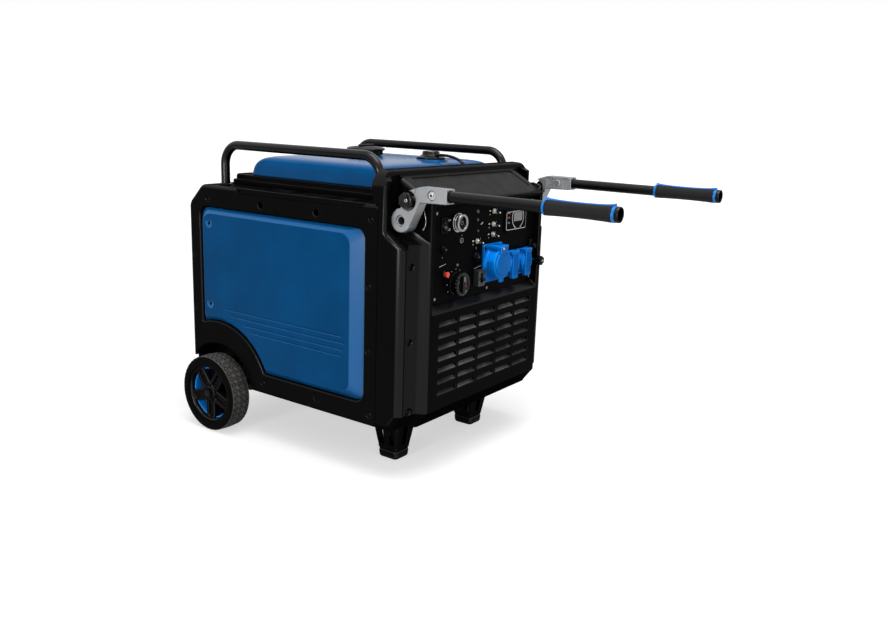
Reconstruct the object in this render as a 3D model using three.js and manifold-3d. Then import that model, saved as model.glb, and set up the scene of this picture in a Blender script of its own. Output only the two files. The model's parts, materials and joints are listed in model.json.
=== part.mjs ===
// Closed inverter generator on two wheels and two front feet, with fold-down front handles.
// Millimetres. +Z is up, the control panel faces -Y, and +X is on the right of someone facing it.
// Y is measured from the joint between the front cowl and the side frames, Z from the floor.
// The exported group is shifted along Y at the end, so that its origin is the middle of its footprint.
import * as THREE from 'three';
import { mergeVertices } from 'three/addons/utils/BufferGeometryUtils.js';
import Module from 'manifold-3d';

const wasm = await Module();
wasm.setup();

// ---------------------------------------------------------------- driving dimensions

// fits
const seat = 0.3;
const runningGap = 0.3;

// casing
const bodyWidth = 560;
const frameLength = 587;
const frameHeight = 472;
const groundClearance = 115;
const frameDepth = 66;
const wall = 4;
const frameCornerCut = 46;
const ledgeDepth = 1.2;
const ledgeHeight = 15;

// wheels
const wheelRadius = 92;
const wheelWidth = 56;
const wheelFromRear = 93;
const wheelStandOut = 38;
const archGap = 22;
const rimRadius = 60;
const axleRadius = 8;
const hubRadius = 17;
const spokeCount = 5;

// side panels
const panelFrontMargin = 37;
const panelRearMargin = 40;
const panelTopMargin = 53;
const panelBottomMargin = 50;
const panelArchMargin = 59;
const panelCorner = 22;
const panelThickness = 7;
const panelBevel = 13;
const panelBulge = 3.5;
const grooveCount = 4;
const groovePitch = 15;
const grooveWidth = 4;
const grooveDepth = 1.5;
const grooveRise = 104;
const grooveRearMargin = 45;
const grooveArchGap = 22;

// front cowl
const cowlDepth = 90;
const shoulderSetBack = 24;
const faceHalfWidth = 223;
const cowlTopRise = 61;
const browRise = 8;
const cowlOverhang = 14;
const cowlCornerRadius = 26;
const cowlTopCorner = 42;
const pocketBack = 17;
const pocketFloorDrop = 55;
const sillStandOut = 12;

// control panel recess
const recessMargin = 13;
const recessBottom = 262;
const recessHeight = 206;
const recessDepth = 16;
const panelPlate = 3;

// front louvres
const louvreRows = 7;
const louvreColumns = 5;
const louvrePitchZ = 25;
const louvrePitchX = 75.6;
const louvreLength = 67;
const louvreHeight = 10;
const louvreLowest = 74;
const louvreDepth = 14;

// top
const deckHeight = 25;
const deckLength = 496;
const tankLength = 404;
const tankHeight = 50;
const tankFront = 50;
const capRadius = 46;
const capFromTankFront = 227;
const neckRadius = 36;
const neckHeight = 6;
const throatRadius = 28;
const throatDepth = 6;
const gaugeRadius = 34;
const gaugeX = 40;
const gaugeFromTankFront = 62;

// carrying rails
const railRadius = 10.5;
const railInset = 46;
const railRise = 92;
const railFront = 34;
const railLength = 473;
const railBend = 46;

// folding handles
const handleStandOff = 26;
const pivotBack = 42;
const pivotDrop = 29;
const bracketWidth = 28;
const lobeRadius = 24;
const tubeRadius = 11;
const tubeWall = 2;
const tubeRise = 56;
const handleReach = 464;
const gripLength = 140;
const gripRadius = 14.5;
const socketLength = 112;
const lockForward = 18;
const lockRise = 42;
const lockRadius = 16.5;
const lockPinRadius = 4;
const lockHeadDepth = 9;
const pivotPinRadius = 5;

// feet
const footInset = 131;
const footY = 53;
const footWidth = 48;
const footLength = 52;
const padHeight = 20;

// engine
const crankHeight = 290;
const alternatorRadius = 104;
const alternatorLength = 80;
const crankcaseLength = 150;
const mufflerGap = 26;
const mufflerLength = 103;
const mufflerRearGap = 12;
const batteryWidth = 150;
const batteryLength = 86;
const batteryHeight = 96;
const batteryFront = 18;

// ---------------------------------------------------------------- derived places

const sideX = bodyWidth / 2;
const innerX = sideX - frameDepth;
const baseZ = groundClearance;
const topZ = groundClearance + frameHeight;
const wheelY = frameLength - wheelFromRear;
const wheelZ = wheelRadius;
const wheelOuterX = sideX + wheelStandOut;
const wheelInnerX = wheelOuterX - wheelWidth;
const archRadius = wheelRadius + archGap;
const faceY = -cowlDepth;
const shoulderY = faceY + shoulderSetBack;
const cowlTopZ = topZ + cowlTopRise;
const browZ = topZ + browRise;
const pocketFloorZ = topZ - pocketFloorDrop;
const panelY = faceY + recessDepth;
const recessFloorZ = baseZ + recessBottom;
const recessTopZ = recessFloorZ + recessHeight;
const pivotY = -pivotBack;
const pivotZ = topZ - pivotDrop;
const lockY = pivotY - lockForward;
const lockZ = pivotZ + lockRise;
const deckZ = topZ + deckHeight;
const tankTopZ = deckZ + tankHeight;
const railX = sideX - railInset;
const footX = sideX - footInset;
const handleX = faceHalfWidth + handleStandOff;
const recessHalfWidth = faceHalfWidth - recessMargin;
const mufflerRear = frameLength - frameCornerCut - mufflerRearGap;
const mufflerFront = mufflerRear - mufflerLength;
const crankcaseRear = mufflerFront - mufflerGap;
const crankcaseFront = crankcaseRear - crankcaseLength;
const alternatorFront = crankcaseFront - alternatorLength;
const capY = tankFront + capFromTankFront;
const gaugeY = tankFront + gaugeFromTankFront;
const trayFloorZ = baseZ + 3;

// ---------------------------------------------------------------- helpers

// Facets round a turned piece, by how large it is.
const fine = 18;
const medium = 12;
const coarse = 10;
const railFacets = 10;

const LEFT = -1;
const RIGHT = 1;

// A closed geometry becomes a solid: shared corners merged, slivers dropped, faces turned outward.
function solid(geometry) {
  const bare = geometry.clone();
  bare.deleteAttribute('normal');
  bare.deleteAttribute('uv');
  const merged = mergeVertices(bare, 1e-4);
  const corners = merged.attributes.position.array;
  const index = merged.index.array;
  const triangles = [];
  let volume = 0;
  const a = new THREE.Vector3();
  const b = new THREE.Vector3();
  const c = new THREE.Vector3();
  for (let i = 0; i < index.length; i += 3) {
    const [p, q, r] = [index[i], index[i + 1], index[i + 2]];
    if (p === q || q === r || r === p) continue;
    triangles.push(p, q, r);
    a.fromArray(corners, 3 * p);
    b.fromArray(corners, 3 * q);
    c.fromArray(corners, 3 * r);
    volume += a.dot(b.cross(c));
  }
  if (volume < 0) triangles.reverse();
  return new wasm.Manifold(new wasm.Mesh({
    numProp: 3,
    vertProperties: new Float32Array(corners),
    triVerts: new Uint32Array(triangles),
  }));
}

// Turned solids come from a geometry moved by a matrix before it is closed.
function placed(geometry, matrix) {
  return solid(geometry.clone().applyMatrix4(matrix));
}

const axesX = new THREE.Matrix4().makeBasis(
  new THREE.Vector3(0, 1, 0), new THREE.Vector3(0, 0, 1), new THREE.Vector3(1, 0, 0));
const axesY = new THREE.Matrix4().makeBasis(
  new THREE.Vector3(1, 0, 0), new THREE.Vector3(0, 0, 1), new THREE.Vector3(0, -1, 0));

function shifted(matrix, x, y, z) {
  return new THREE.Matrix4().makeTranslation(x, y, z).multiply(matrix);
}

function prism(shape, depth, segments) {
  return new THREE.ExtrudeGeometry(shape, { depth, bevelEnabled: false, curveSegments: segments });
}

// Outline drawn in (y, z), pulled along X between two places given in either order.
function alongX(shape, from, to, segments = 3) {
  const low = Math.min(from, to);
  return placed(prism(shape, Math.abs(to - from), segments), shifted(axesX, low, 0, 0));
}

// Outline drawn in (x, z), pulled along Y.
function alongY(shape, from, to, segments = 3) {
  return placed(prism(shape, to - from, segments), shifted(axesY, 0, to, 0));
}

// Outline drawn in (x, y), pulled along Z.
function alongZ(shape, from, to, segments = 3) {
  return placed(prism(shape, to - from, segments), shifted(new THREE.Matrix4(), 0, 0, from));
}

function box(x0, x1, y0, y1, z0, z1) {
  const geometry = new THREE.BoxGeometry(Math.abs(x1 - x0), Math.abs(y1 - y0), Math.abs(z1 - z0));
  return solid(geometry.translate((x0 + x1) / 2, (y0 + y1) / 2, (z0 + z1) / 2));
}

const axisTurn = {
  X: new THREE.Matrix4().makeRotationZ(-Math.PI / 2),
  Y: new THREE.Matrix4(),
  Z: new THREE.Matrix4().makeRotationX(Math.PI / 2),
};

// Profile of [radius, place along the axis] revolved about an axis through (x, y, z).
function revolved(profile, axis, [x, y, z], segments = coarse) {
  const points = profile.map(([radius, along]) => new THREE.Vector2(radius, along));
  const geometry = new THREE.LatheGeometry(points, segments);
  return placed(geometry, shifted(axisTurn[axis], x, y, z));
}

// Solid round bar along an axis between two places.
function rod(axis, radius, from, to, centre, segments = coarse) {
  const low = Math.min(from, to);
  const high = Math.max(from, to);
  return revolved([[0, low], [radius, low], [radius, high], [0, high]], axis, centre, segments);
}

// Cutter for a hole in which a round bar of the given radius clears every facet.
function bored(axis, radius, from, to, centre, segments = coarse) {
  return rod(axis, radius / Math.cos(Math.PI / segments), from, to, centre, segments);
}

// Polygon whose corners [x, y, radius] are rounded where a radius is given.
function outline(corners) {
  const shape = new THREE.Shape();
  corners.forEach(([x, y, radius = 0], i) => {
    const corner = new THREE.Vector2(x, y);
    const before = corners[(i + corners.length - 1) % corners.length];
    const after = corners[(i + 1) % corners.length];
    const start = new THREE.Vector2(before[0], before[1]).sub(corner).setLength(radius).add(corner);
    const end = new THREE.Vector2(after[0], after[1]).sub(corner).setLength(radius).add(corner);
    if (i === 0) shape.moveTo(start.x, start.y);
    else shape.lineTo(start.x, start.y);
    if (radius > 0) shape.quadraticCurveTo(x, y, end.x, end.y);
  });
  shape.closePath();
  return shape;
}

function rectangle(x0, x1, y0, y1, radius = 0) {
  return outline([[x0, y0, radius], [x1, y0, radius], [x1, y1, radius], [x0, y1, radius]]);
}

// Closed skin through a stack of levels [shape, z] whose outlines all have the same number of points.
function lofted(levels, segments = 2, matrix = new THREE.Matrix4()) {
  const rings = levels.map(([shape]) => shape.getPoints(segments).slice(0, -1));
  const count = rings[0].length;
  const positions = rings.flatMap((points, r) => points.flatMap(({ x, y }) => [x, y, levels[r][1]]));
  const index = [];
  for (let r = 0; r + 1 < rings.length; r += 1) {
    for (let i = 0; i < count; i += 1) {
      const j = (i + 1) % count;
      const [a, b] = [r * count + i, r * count + j];
      index.push(a, b, b + count, a, b + count, a + count);
    }
  }
  const last = (rings.length - 1) * count;
  for (const [a, b, c] of THREE.ShapeUtils.triangulateShape(rings[0], [])) index.push(a, c, b);
  for (const [a, b, c] of THREE.ShapeUtils.triangulateShape(rings.at(-1), [])) {
    index.push(last + a, last + b, last + c);
  }
  const geometry = new THREE.BufferGeometry();
  geometry.setAttribute('position', new THREE.Float32BufferAttribute(positions, 3));
  geometry.setIndex(index);
  return placed(geometry, matrix);
}

// One level of a loft: a rounded rectangle at height z.
function level(x0, x1, y0, y1, radius, z) {
  return [rectangle(x0, x1, y0, y1, radius), z];
}

function union(solids) {
  return solids.reduce((whole, piece) => whole.add(piece));
}

function without(body, cutters) {
  return cutters.reduce((rest, cutter) => rest.subtract(cutter), body);
}

const finishes = {
  blackPlastic: { color: 0x17181a, roughness: 0.55, metalness: 0 },
  bluePaint: { color: 0x0d4a86, roughness: 0.4, metalness: 0 },
  tankBlue: { color: 0x0e5aa3, roughness: 0.25, metalness: 0 },
  blackPaint: { color: 0x0c0d0e, roughness: 0.25, metalness: 0.3 },
  panelBlack: { color: 0x101113, roughness: 0.5, metalness: 0 },
  socketBlue: { color: 0x1585e0, roughness: 0.4, metalness: 0 },
  castAluminium: { color: 0xb4b7ba, roughness: 0.5, metalness: 0.8 },
  rubber: { color: 0x141516, roughness: 0.85, metalness: 0 },
  gripBlue: { color: 0x1272c4, roughness: 0.5, metalness: 0 },
  chrome: { color: 0xd0d0d0, roughness: 0.15, metalness: 1 },
  brass: { color: 0xc9b68a, roughness: 0.35, metalness: 0.8 },
  red: { color: 0xd8392b, roughness: 0.4, metalness: 0 },
  steel: { color: 0x8c9094, roughness: 0.4, metalness: 0.9 },
  castIron: { color: 0x55585c, roughness: 0.6, metalness: 0.6 },
  displayGrey: { color: 0x23262a, roughness: 0.2, metalness: 0 },
};

const generator = new THREE.Group();

function part(name, body, finish) {
  const { vertProperties, triVerts, numProp } = body.getMesh();
  const geometry = new THREE.BufferGeometry();
  const positions = new Float32Array((vertProperties.length / numProp) * 3);
  for (let i = 0; i < positions.length / 3; i += 1) {
    positions.set(vertProperties.subarray(i * numProp, i * numProp + 3), 3 * i);
  }
  geometry.setAttribute('position', new THREE.BufferAttribute(positions, 3));
  geometry.setIndex(new THREE.BufferAttribute(new Uint32Array(triVerts), 1));
  geometry.computeVertexNormals();
  const mesh = new THREE.Mesh(geometry, new THREE.MeshStandardMaterial(finishes[finish]));
  mesh.name = name;
  generator.add(mesh);
}

const sides = [['left', LEFT], ['right', RIGHT]];

// ---------------------------------------------------------------- side frames

// The frame's outline with its rear top corner cut; inset moves every edge inward.
function frameShape(inset) {
  const front = seat + inset;
  const rear = frameLength - inset;
  const low = baseZ + inset;
  const high = topZ - inset;
  const cut = frameCornerCut + inset * (Math.SQRT2 - 2);
  return outline([
    [front, low], [rear, low], [rear, high - cut, 10], [rear - cut, high, 10], [front, high, 4],
  ]);
}

// A block of the frame between two places in X, clear of the round wheel arch.
function frameBlock(side, inset, from, to) {
  const block = alongX(frameShape(inset), side * from, side * to);
  const arch = rod('X', archRadius + inset, side * (from - 1), side * (to + 1), [0, wheelY, wheelZ], fine);
  return block.subtract(arch);
}

// The side panel's outline: three square sides and an arc concentric with the wheel.
function panelShape(grow) {
  const front = panelFrontMargin - grow;
  const rear = frameLength - panelRearMargin + grow;
  const low = baseZ + panelBottomMargin - grow;
  const high = topZ - panelTopMargin + grow;
  const radius = archRadius + panelArchMargin - grow;
  const startAngle = Math.acos((rear - wheelY) / radius);
  const endAngle = Math.PI - Math.asin((low - wheelZ) / radius);
  const corner = panelCorner + grow;
  const steps = 8;
  const corners = [[front, low, corner], [front, high, corner], [rear, high, corner]];
  for (let i = 0; i <= steps; i += 1) {
    const angle = startAngle + ((endAngle - startAngle) * i) / steps;
    const rounding = i === 0 || i === steps ? corner / 2 : 0;
    corners.push([
      wheelY + radius * Math.cos(angle), wheelZ + radius * Math.sin(angle), rounding,
    ]);
  }
  return outline(corners.reverse());
}

function sideFrame(side) {
  const skin = frameBlock(side, 0, innerX, sideX);
  const hollow = frameBlock(side, wall, innerX - 1, sideX - wall);
  const seatBack = sideX - panelThickness - wall;
  const tray = alongX(panelShape(wall), side * seatBack, side * (sideX - wall / 2));
  const recess = alongX(panelShape(seat), side * (seatBack + wall), side * (sideX + 1));
  const window = alongX(panelShape(-12), side * (seatBack - 1), side * (sideX + 1));
  const legs = [railFront, railFront + railLength].map((y) => (
    rod('Z', railRadius + seat, topZ - 2 * wall, topZ + 1, [side * railX, y, 0], railFacets)));
  const ledge = alongX(
    outline([[wall * 3, topZ - ledgeHeight], [frameLength - 176, topZ - ledgeHeight], [frameLength - 162, topZ + 1],
      [wall, topZ + 1]]),
    side * (sideX - ledgeDepth), side * (sideX + 1));
  return without(skin.subtract(hollow).add(tray), [recess, window, ledge, ...legs]);
}

// The blue panel: a flat lid with a bevelled rim and four long finger grooves low down.
function sidePanel(side) {
  const levels = [
    [panelShape(0), side * (sideX - panelThickness)], [panelShape(0), side * sideX],
    [panelShape(-panelBevel), side * (sideX + panelBulge)],
  ];
  const lid = lofted(levels, 3, axesX);
  const grooves = [];
  const face = sideX + panelBulge;
  const clear = archRadius + panelArchMargin + grooveArchGap;
  for (let i = 0; i < grooveCount; i += 1) {
    const z = baseZ + panelBottomMargin + grooveRise + (i + 1 - grooveCount / 2) * groovePitch;
    const front = panelFrontMargin + 52 + (grooveCount - i) * 5;
    const reach = Math.sqrt(Math.max(0, clear ** 2 - (z - wheelZ) ** 2));
    const rear = Math.min(wheelY - reach, frameLength - grooveRearMargin - panelRearMargin);
    const slot = rectangle(front, rear, z - grooveWidth / 2, z + grooveWidth / 2);
    grooves.push(alongX(slot, side * (face - grooveDepth), side * (face + 1)));
  }
  return without(lid, grooves);
}

for (const [name, side] of sides) {
  part(`side_frame_${name}`, sideFrame(side), 'blackPlastic');
  part(`side_panel_${name}`, sidePanel(side), 'bluePaint');
}

// ---------------------------------------------------------------- front cowl

// Slope of the cowl's top face, and its height at any place along Y.
const topSlope = (cowlTopZ - browZ) / (cowlDepth + cowlOverhang);

function slopeZ(y) {
  return browZ + (y - faceY) * topSlope;
}

// Side profile of the cowl from a front plane back to the overhang above the side frames.
function cowlProfile(front, inset) {
  const overhang = cowlOverhang + (inset > 0 ? 1 : 0);
  const back = inset > 0 ? 1 : 0;
  const low = baseZ - (inset > 0 ? 1 : 0);
  const toe = front < shoulderY ? 14 : 0;
  return outline([
    [front + inset, low + toe + inset], [front + inset, slopeZ(front + inset) - inset * 1.1],
    [overhang, slopeZ(overhang) - inset * 1.1], [overhang, topZ + (inset > 0 ? -1 : 1.5)],
    [back, topZ - 2 * inset], [back, low], [front + inset + toe, low],
  ]);
}

// Plan of the cowl with its two front corners rounded.
function cowlPlan(inset) {
  const half = sideX - inset;
  const radius = cowlCornerRadius;
  return outline([
    [-half, 20], [-half, shoulderY + inset, radius], [half, shoulderY + inset, radius], [half, 20],
  ]);
}

function cowlBlock(inset) {
  const face = alongX(
    cowlProfile(faceY, inset), -faceHalfWidth + inset, faceHalfWidth - inset);
  const shoulders = alongX(cowlProfile(shoulderY, inset), -sideX, sideX)
    .intersect(alongZ(cowlPlan(inset), baseZ - 10, cowlTopZ + 10));
  const sillBack = shoulderY + inset + 8;
  const sillFront = shoulderY - sillStandOut + inset;
  const sill = alongX(outline([
    [sillBack, baseZ - (inset > 0 ? 1 : 0)], [sillFront, baseZ + 10 + inset / 2],
    [sillFront, baseZ + 28 - inset], [sillBack, baseZ + 50 - inset],
  ]), -sideX + 30 + inset, sideX - 30 - inset);
  const front = outline([
    [-sideX + inset, baseZ - 20], [sideX - inset, baseZ - 20],
    [sideX - inset, cowlTopZ + 1 - inset, cowlTopCorner], [-sideX + inset, cowlTopZ + 1 - inset, cowlTopCorner],
  ]);
  return union([face, shoulders, sill]).intersect(alongY(front, faceY - 20, cowlOverhang + 5, 4));
}

// The corner pocket in which a handle bracket swings: open to the front, the side and the top.
function pocket(side, grow) {
  const shape = outline([
    [-pocketBack + grow, pocketFloorZ - grow], [-pocketBack + grow, cowlTopZ + 20],
    [faceY - 40, cowlTopZ + 20], [faceY - 40, pocketFloorZ - 50 - grow],
  ]);
  return alongX(shape, side * (faceHalfWidth - grow), side * (sideX + 20));
}

function frontLouvres() {
  const slots = [];
  for (let row = 0; row < louvreRows; row += 1) {
    const z = baseZ + louvreLowest + row * louvrePitchZ;
    const rise = louvreDepth * 0.55;
    const throat = outline([
      [faceY - 2, z - louvreHeight / 2 - 1.1], [faceY + louvreDepth + 2, z - louvreHeight / 2 + rise],
      [faceY + louvreDepth + 2, z + louvreHeight / 2 + rise], [faceY - 2, z + louvreHeight / 2 - 1.1],
    ]);
    for (let column = 0; column < louvreColumns; column += 1) {
      const x = (column - (louvreColumns - 1) / 2) * louvrePitchX;
      slots.push(alongX(throat, x - louvreLength / 2, x + louvreLength / 2));
    }
  }
  return slots;
}

function frontCowl() {
  const outer = without(cowlBlock(0), [pocket(LEFT, 0), pocket(RIGHT, 0)]);
  const inner = without(cowlBlock(wall), [pocket(LEFT, wall), pocket(RIGHT, wall)]);
  const louvreHalf = (louvreColumns * louvrePitchX) / 2 + 3;
  const louvreBlock = box(
    -louvreHalf, louvreHalf, faceY + 1, faceY + louvreDepth,
    baseZ + louvreLowest - louvreHeight, baseZ + louvreLowest + louvreRows * louvrePitchZ);
  const tub = box(
    -recessHalfWidth - wall, recessHalfWidth + wall, faceY + 1, panelY + panelPlate + wall + seat,
    recessFloorZ - wall, recessTopZ + wall);
  const recess = box(
    -recessHalfWidth, recessHalfWidth, faceY - 1, panelY + panelPlate + seat, recessFloorZ, recessTopZ);
  const window = box(
    -recessHalfWidth + 12, recessHalfWidth - 12, faceY - 1, 0, recessFloorZ + 12, recessTopZ - 12);
  const ledge = alongX(
    outline([[faceY - 1, recessFloorZ - 6], [panelY - 2, recessFloorZ + 0.1], [faceY - 1, recessFloorZ + 8]]),
    -recessHalfWidth, recessHalfWidth);
  const bosses = [];
  const pins = [];
  const holes = [];
  for (const side of [LEFT, RIGHT]) {
    const bracketInner = handleX - bracketWidth / 2;
    const wallX = faceHalfWidth - wall - 4;
    bosses.push(rod('X', 13, side * wallX, side * (bracketInner - seat), [0, pivotY, pivotZ]));
    bosses.push(rod('X', 9, side * wallX, side * (bracketInner - seat), [0, lockY, lockZ]));
    pins.push(rod(
      'X', pivotPinRadius, side * (bracketInner - 4), side * (handleX + bracketWidth / 2), [0, pivotY, pivotZ], 12));
    holes.push(bored('X', lockPinRadius + runningGap, side * (wallX - 1), side * sideX, [0, lockY, lockZ], 12));
  }
  const shell = union([outer.subtract(inner), louvreBlock, tub, ...bosses]);
  return without(shell, [recess, window, ledge, ...frontLouvres(), ...holes]).add(union(pins));
}

part('front_cowl', frontCowl(), 'blackPlastic');

// ---------------------------------------------------------------- rear cover, deck and tray

const rearBulge = 14;
const rearFace = frameLength + rearBulge;
const rearCoverFront = frameLength - frameCornerCut - 26;
const muffler = { x: -70, z: topZ - 120, radius: 17, width: 160, height: 84 };
const rearLouvre = { rows: 6, lowest: 70, pitch: 24, height: 9, rise: 8, length: 136, apart: 164 };

function rearProfile(inset) {
  const cut = frameCornerCut;
  const front = rearCoverFront - (inset > 0 ? 1 : 0);
  return outline([
    [front, baseZ + inset], [frameLength, baseZ + inset], [rearFace - inset, baseZ + 14],
    [rearFace - inset, topZ - cut - 6], [frameLength - cut, topZ - inset], [front, topZ - inset],
  ]);
}

function rearCover() {
  const half = innerX - seat;
  const shell = alongX(rearProfile(0), -half, half).subtract(alongX(rearProfile(wall), -half + wall, half - wall));
  const slots = [];
  const { rows, lowest, pitch, height, rise, length, apart } = rearLouvre;
  for (let row = 0; row < rows; row += 1) {
    const z = baseZ + lowest + row * pitch;
    const throat = outline([
      [rearFace - wall - 6, z + rise], [rearFace + 2, z], [rearFace + 2, z + height],
      [rearFace - wall - 6, z + rise + height],
    ]);
    for (const x of [-apart / 2, apart / 2]) slots.push(alongX(throat, x - length / 2, x + length / 2));
  }
  const outlet = rod('Y', muffler.radius + 9, frameLength - 20, rearFace + 2, [muffler.x, 0, muffler.z], medium);
  const collar = revolved(
    [[muffler.radius + 8, rearFace - 12], [muffler.radius + 14, rearFace - 12],
      [muffler.radius + 14, rearFace - 2], [muffler.radius + 8, rearFace - 2],
      [muffler.radius + 8, rearFace - 12]],
    'Y', [muffler.x, 0, muffler.z], medium);
  return without(shell, [outlet, ...slots]).add(collar);
}

part('rear_cover', rearCover(), 'blackPlastic');

// Black surround that the tank sits in.
function topDeck() {
  const front = cowlOverhang + seat;
  const rear = front + deckLength;
  const half = innerX + 2;
  const low = topZ + seat;
  const body = lofted([
    level(-half, half, front, rear, 12, low),
    level(-half, half, front, rear, 12, deckZ - 5),
    level(-half + 4, half - 4, front + 1, rear - 5, 12, deckZ),
  ]);
  const inner = lofted([
    level(-half + 9, half - 9, tankFront + 4, tankFront + tankLength - 4, 22, low - 1),
    level(-half + 9, half - 9, tankFront + 4, tankFront + tankLength - 4, 22, deckZ + 1),
  ]);
  const pocketUnder = box(-half + 6, half - 6, front + 4, tankFront - 4, low - 1, deckZ - 4);
  const rearUnder = box(-half + 6, half - 6, tankFront + tankLength + 4, rear - 8, low - 1, deckZ - 4);
  return without(body, [inner, pocketUnder, rearUnder]);
}

part('top_deck', topDeck(), 'blackPlastic');

// Pressed steel tray that carries the engine, with the axle hangers and two cross ribs.
function chassisTray() {
  const half = innerX - seat;
  const front = shoulderY + wall + 4;
  const rear = rearCoverFront - seat;
  const rim = 26;
  const tray = box(-half, half, front, rear, baseZ, baseZ + rim);
  const hollow = box(-half + 3, half - 3, front + 3, rear - 3, trayFloorZ, baseZ + rim + 1);
  const ribs = [0.36, 0.72].map((share) => {
    const y = front + (rear - front) * share;
    return box(-half + 1, half - 1, y - 3, y + 3, baseZ + 1, trayFloorZ + 9);
  });
  const hangers = [LEFT, RIGHT].map((side) => {
    const x = side * (half - 26);
    const plate = outline([
      [wheelY - 46, baseZ + 2], [wheelY + 18, baseZ + 2], [wheelY + 18, wheelZ - 20, 10],
      [wheelY - 18, wheelZ - 20, 10],
    ]);
    return alongX(plate, x - 4, x + 4);
  });
  const bore = bored('X', axleRadius + seat, -half, half, [0, wheelY, wheelZ]);
  return union([tray.subtract(hollow), ...ribs, ...hangers]).subtract(bore);
}

part('chassis_tray', chassisTray(), 'blackPaint');

// ---------------------------------------------------------------- tank

function fuelTank() {
  const half = innerX - 1;
  const rear = tankFront + tankLength;
  const skin = (inset, rearInset, radius, z) => level(
    -half + inset, half - inset, tankFront + inset * 0.6, rear - rearInset, radius, z);
  const body = lofted([
    skin(24, 24, 30, topZ - 40),
    skin(10, 10, 26, topZ - 22),
    skin(10, 10, 26, deckZ + seat),
    skin(0, 0, 26, deckZ + seat),
    skin(0, 8, 26, deckZ + 20),
    skin(3, 22, 28, deckZ + 32),
    skin(12, 36, 34, deckZ + 40),
    skin(40, 66, 44, deckZ + 46),
    skin(110, 130, 50, tankTopZ),
  ], 3);
  const neck = revolved([
    [0, tankTopZ - 10], [neckRadius, tankTopZ - 10], [neckRadius, tankTopZ + neckHeight],
    [throatRadius, tankTopZ + neckHeight], [throatRadius, tankTopZ - throatDepth],
    [0, tankTopZ - throatDepth],
  ], 'Z', [0, capY, 0], medium);
  const throat = bored(
    'Z', throatRadius, tankTopZ - throatDepth, tankTopZ + neckHeight + 1, [0, capY, 0], medium);
  const boss = revolved([
    [0, deckZ + 20], [gaugeRadius + 6, deckZ + 20], [gaugeRadius + 3, tankTopZ], [0, tankTopZ],
  ], 'Z', [gaugeX, gaugeY, 0], medium);
  return union([body, neck, boss]).subtract(throat);
}

part('fuel_tank', fuelTank(), 'tankBlue');

// Screw cap with a wide top plate and a fluted skirt.
function fuelCap() {
  const base = tankTopZ + seat;
  const flutes = 12;
  const shape = new THREE.Shape();
  for (let i = 0; i <= flutes * 2; i += 1) {
    const angle = (i * Math.PI) / flutes;
    const radius = i % 2 ? capRadius - 5 : capRadius - 8;
    const point = [radius * Math.cos(angle), capY + radius * Math.sin(angle)];
    if (i === 0) shape.moveTo(...point);
    else shape.lineTo(...point);
  }
  const skirt = alongZ(shape, base + 1.5, base + 16);
  const plate = revolved([
    [0, base + 12], [capRadius, base + 12], [capRadius, base + 17],
    [capRadius - 4, base + 20.5], [12, base + 22], [0, base + 22],
  ], 'Z', [0, capY, 0], fine);
  const rim = tankTopZ + neckHeight + seat;
  const bore = bored('Z', neckRadius + runningGap, base, rim, [0, capY, 0], medium);
  const plug = rod('Z', throatRadius - runningGap, base - 4, rim + 1, [0, capY, 0], medium);
  return union([skirt, plate]).subtract(bore).add(plug);
}

part('fuel_cap', fuelCap(), 'blackPlastic');

// Round fuel gauge on its boss, with the breather hose that runs forward into the cowl.
function fuelGauge() {
  const base = tankTopZ + seat;
  const dial = revolved([
    [0, base], [gaugeRadius, base], [gaugeRadius, base + 4], [gaugeRadius - 9, base + 7],
    [gaugeRadius - 14, base + 13], [gaugeRadius - 14, base + 17], [0, base + 18],
  ], 'Z', [gaugeX, gaugeY, 0], medium);
  const path = new THREE.CatmullRomCurve3([
    new THREE.Vector3(gaugeX - 8, gaugeY - 12, base + 9),
    new THREE.Vector3(gaugeX - 4, gaugeY - 42, base + 9),
    new THREE.Vector3(gaugeX + 2, gaugeY - 72, base + 2),
    new THREE.Vector3(gaugeX + 4, cowlOverhang + 6, cowlTopZ - 14),
  ]);
  const hose = new THREE.ExtrudeGeometry(circle(3.5), { extrudePath: path, steps: 8, curveSegments: 3 });
  return dial.add(solid(hose));
}

function circle(radius) {
  const shape = new THREE.Shape();
  shape.absarc(0, 0, radius, 0, 2 * Math.PI);
  return shape;
}

part('fuel_gauge', fuelGauge(), 'blackPlastic');

// ---------------------------------------------------------------- carrying rails

// Bent tube: rings of points square to a path [y, z] that lies in a plane of constant X.
function bentTube(x, path, radius, facets) {
  const positions = [];
  path.forEach(([y, z], i) => {
    const [y0, z0] = path[Math.max(i - 1, 0)];
    const [y1, z1] = path[Math.min(i + 1, path.length - 1)];
    const run = Math.hypot(y1 - y0, z1 - z0);
    const [ny, nz] = [(z1 - z0) / run, -(y1 - y0) / run];
    for (let k = 0; k < facets; k += 1) {
      const angle = (k * 2 * Math.PI) / facets;
      const out = radius * Math.cos(angle);
      positions.push(x + radius * Math.sin(angle), y + ny * out, z + nz * out);
    }
  });
  const index = [];
  const last = (path.length - 1) * facets;
  for (let k = 0; k < facets; k += 1) {
    const next = (k + 1) % facets;
    for (let ring = 0; ring < last; ring += facets) {
      index.push(ring + k, ring + next, ring + facets + next);
      index.push(ring + k, ring + facets + next, ring + facets + k);
    }
    if (k > 0 && k < facets - 1) {
      index.push(0, next, k);
      index.push(last, last + k, last + next);
    }
  }
  const geometry = new THREE.BufferGeometry();
  geometry.setAttribute('position', new THREE.Float32BufferAttribute(positions, 3));
  geometry.setIndex(index);
  return solid(geometry);
}

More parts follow.
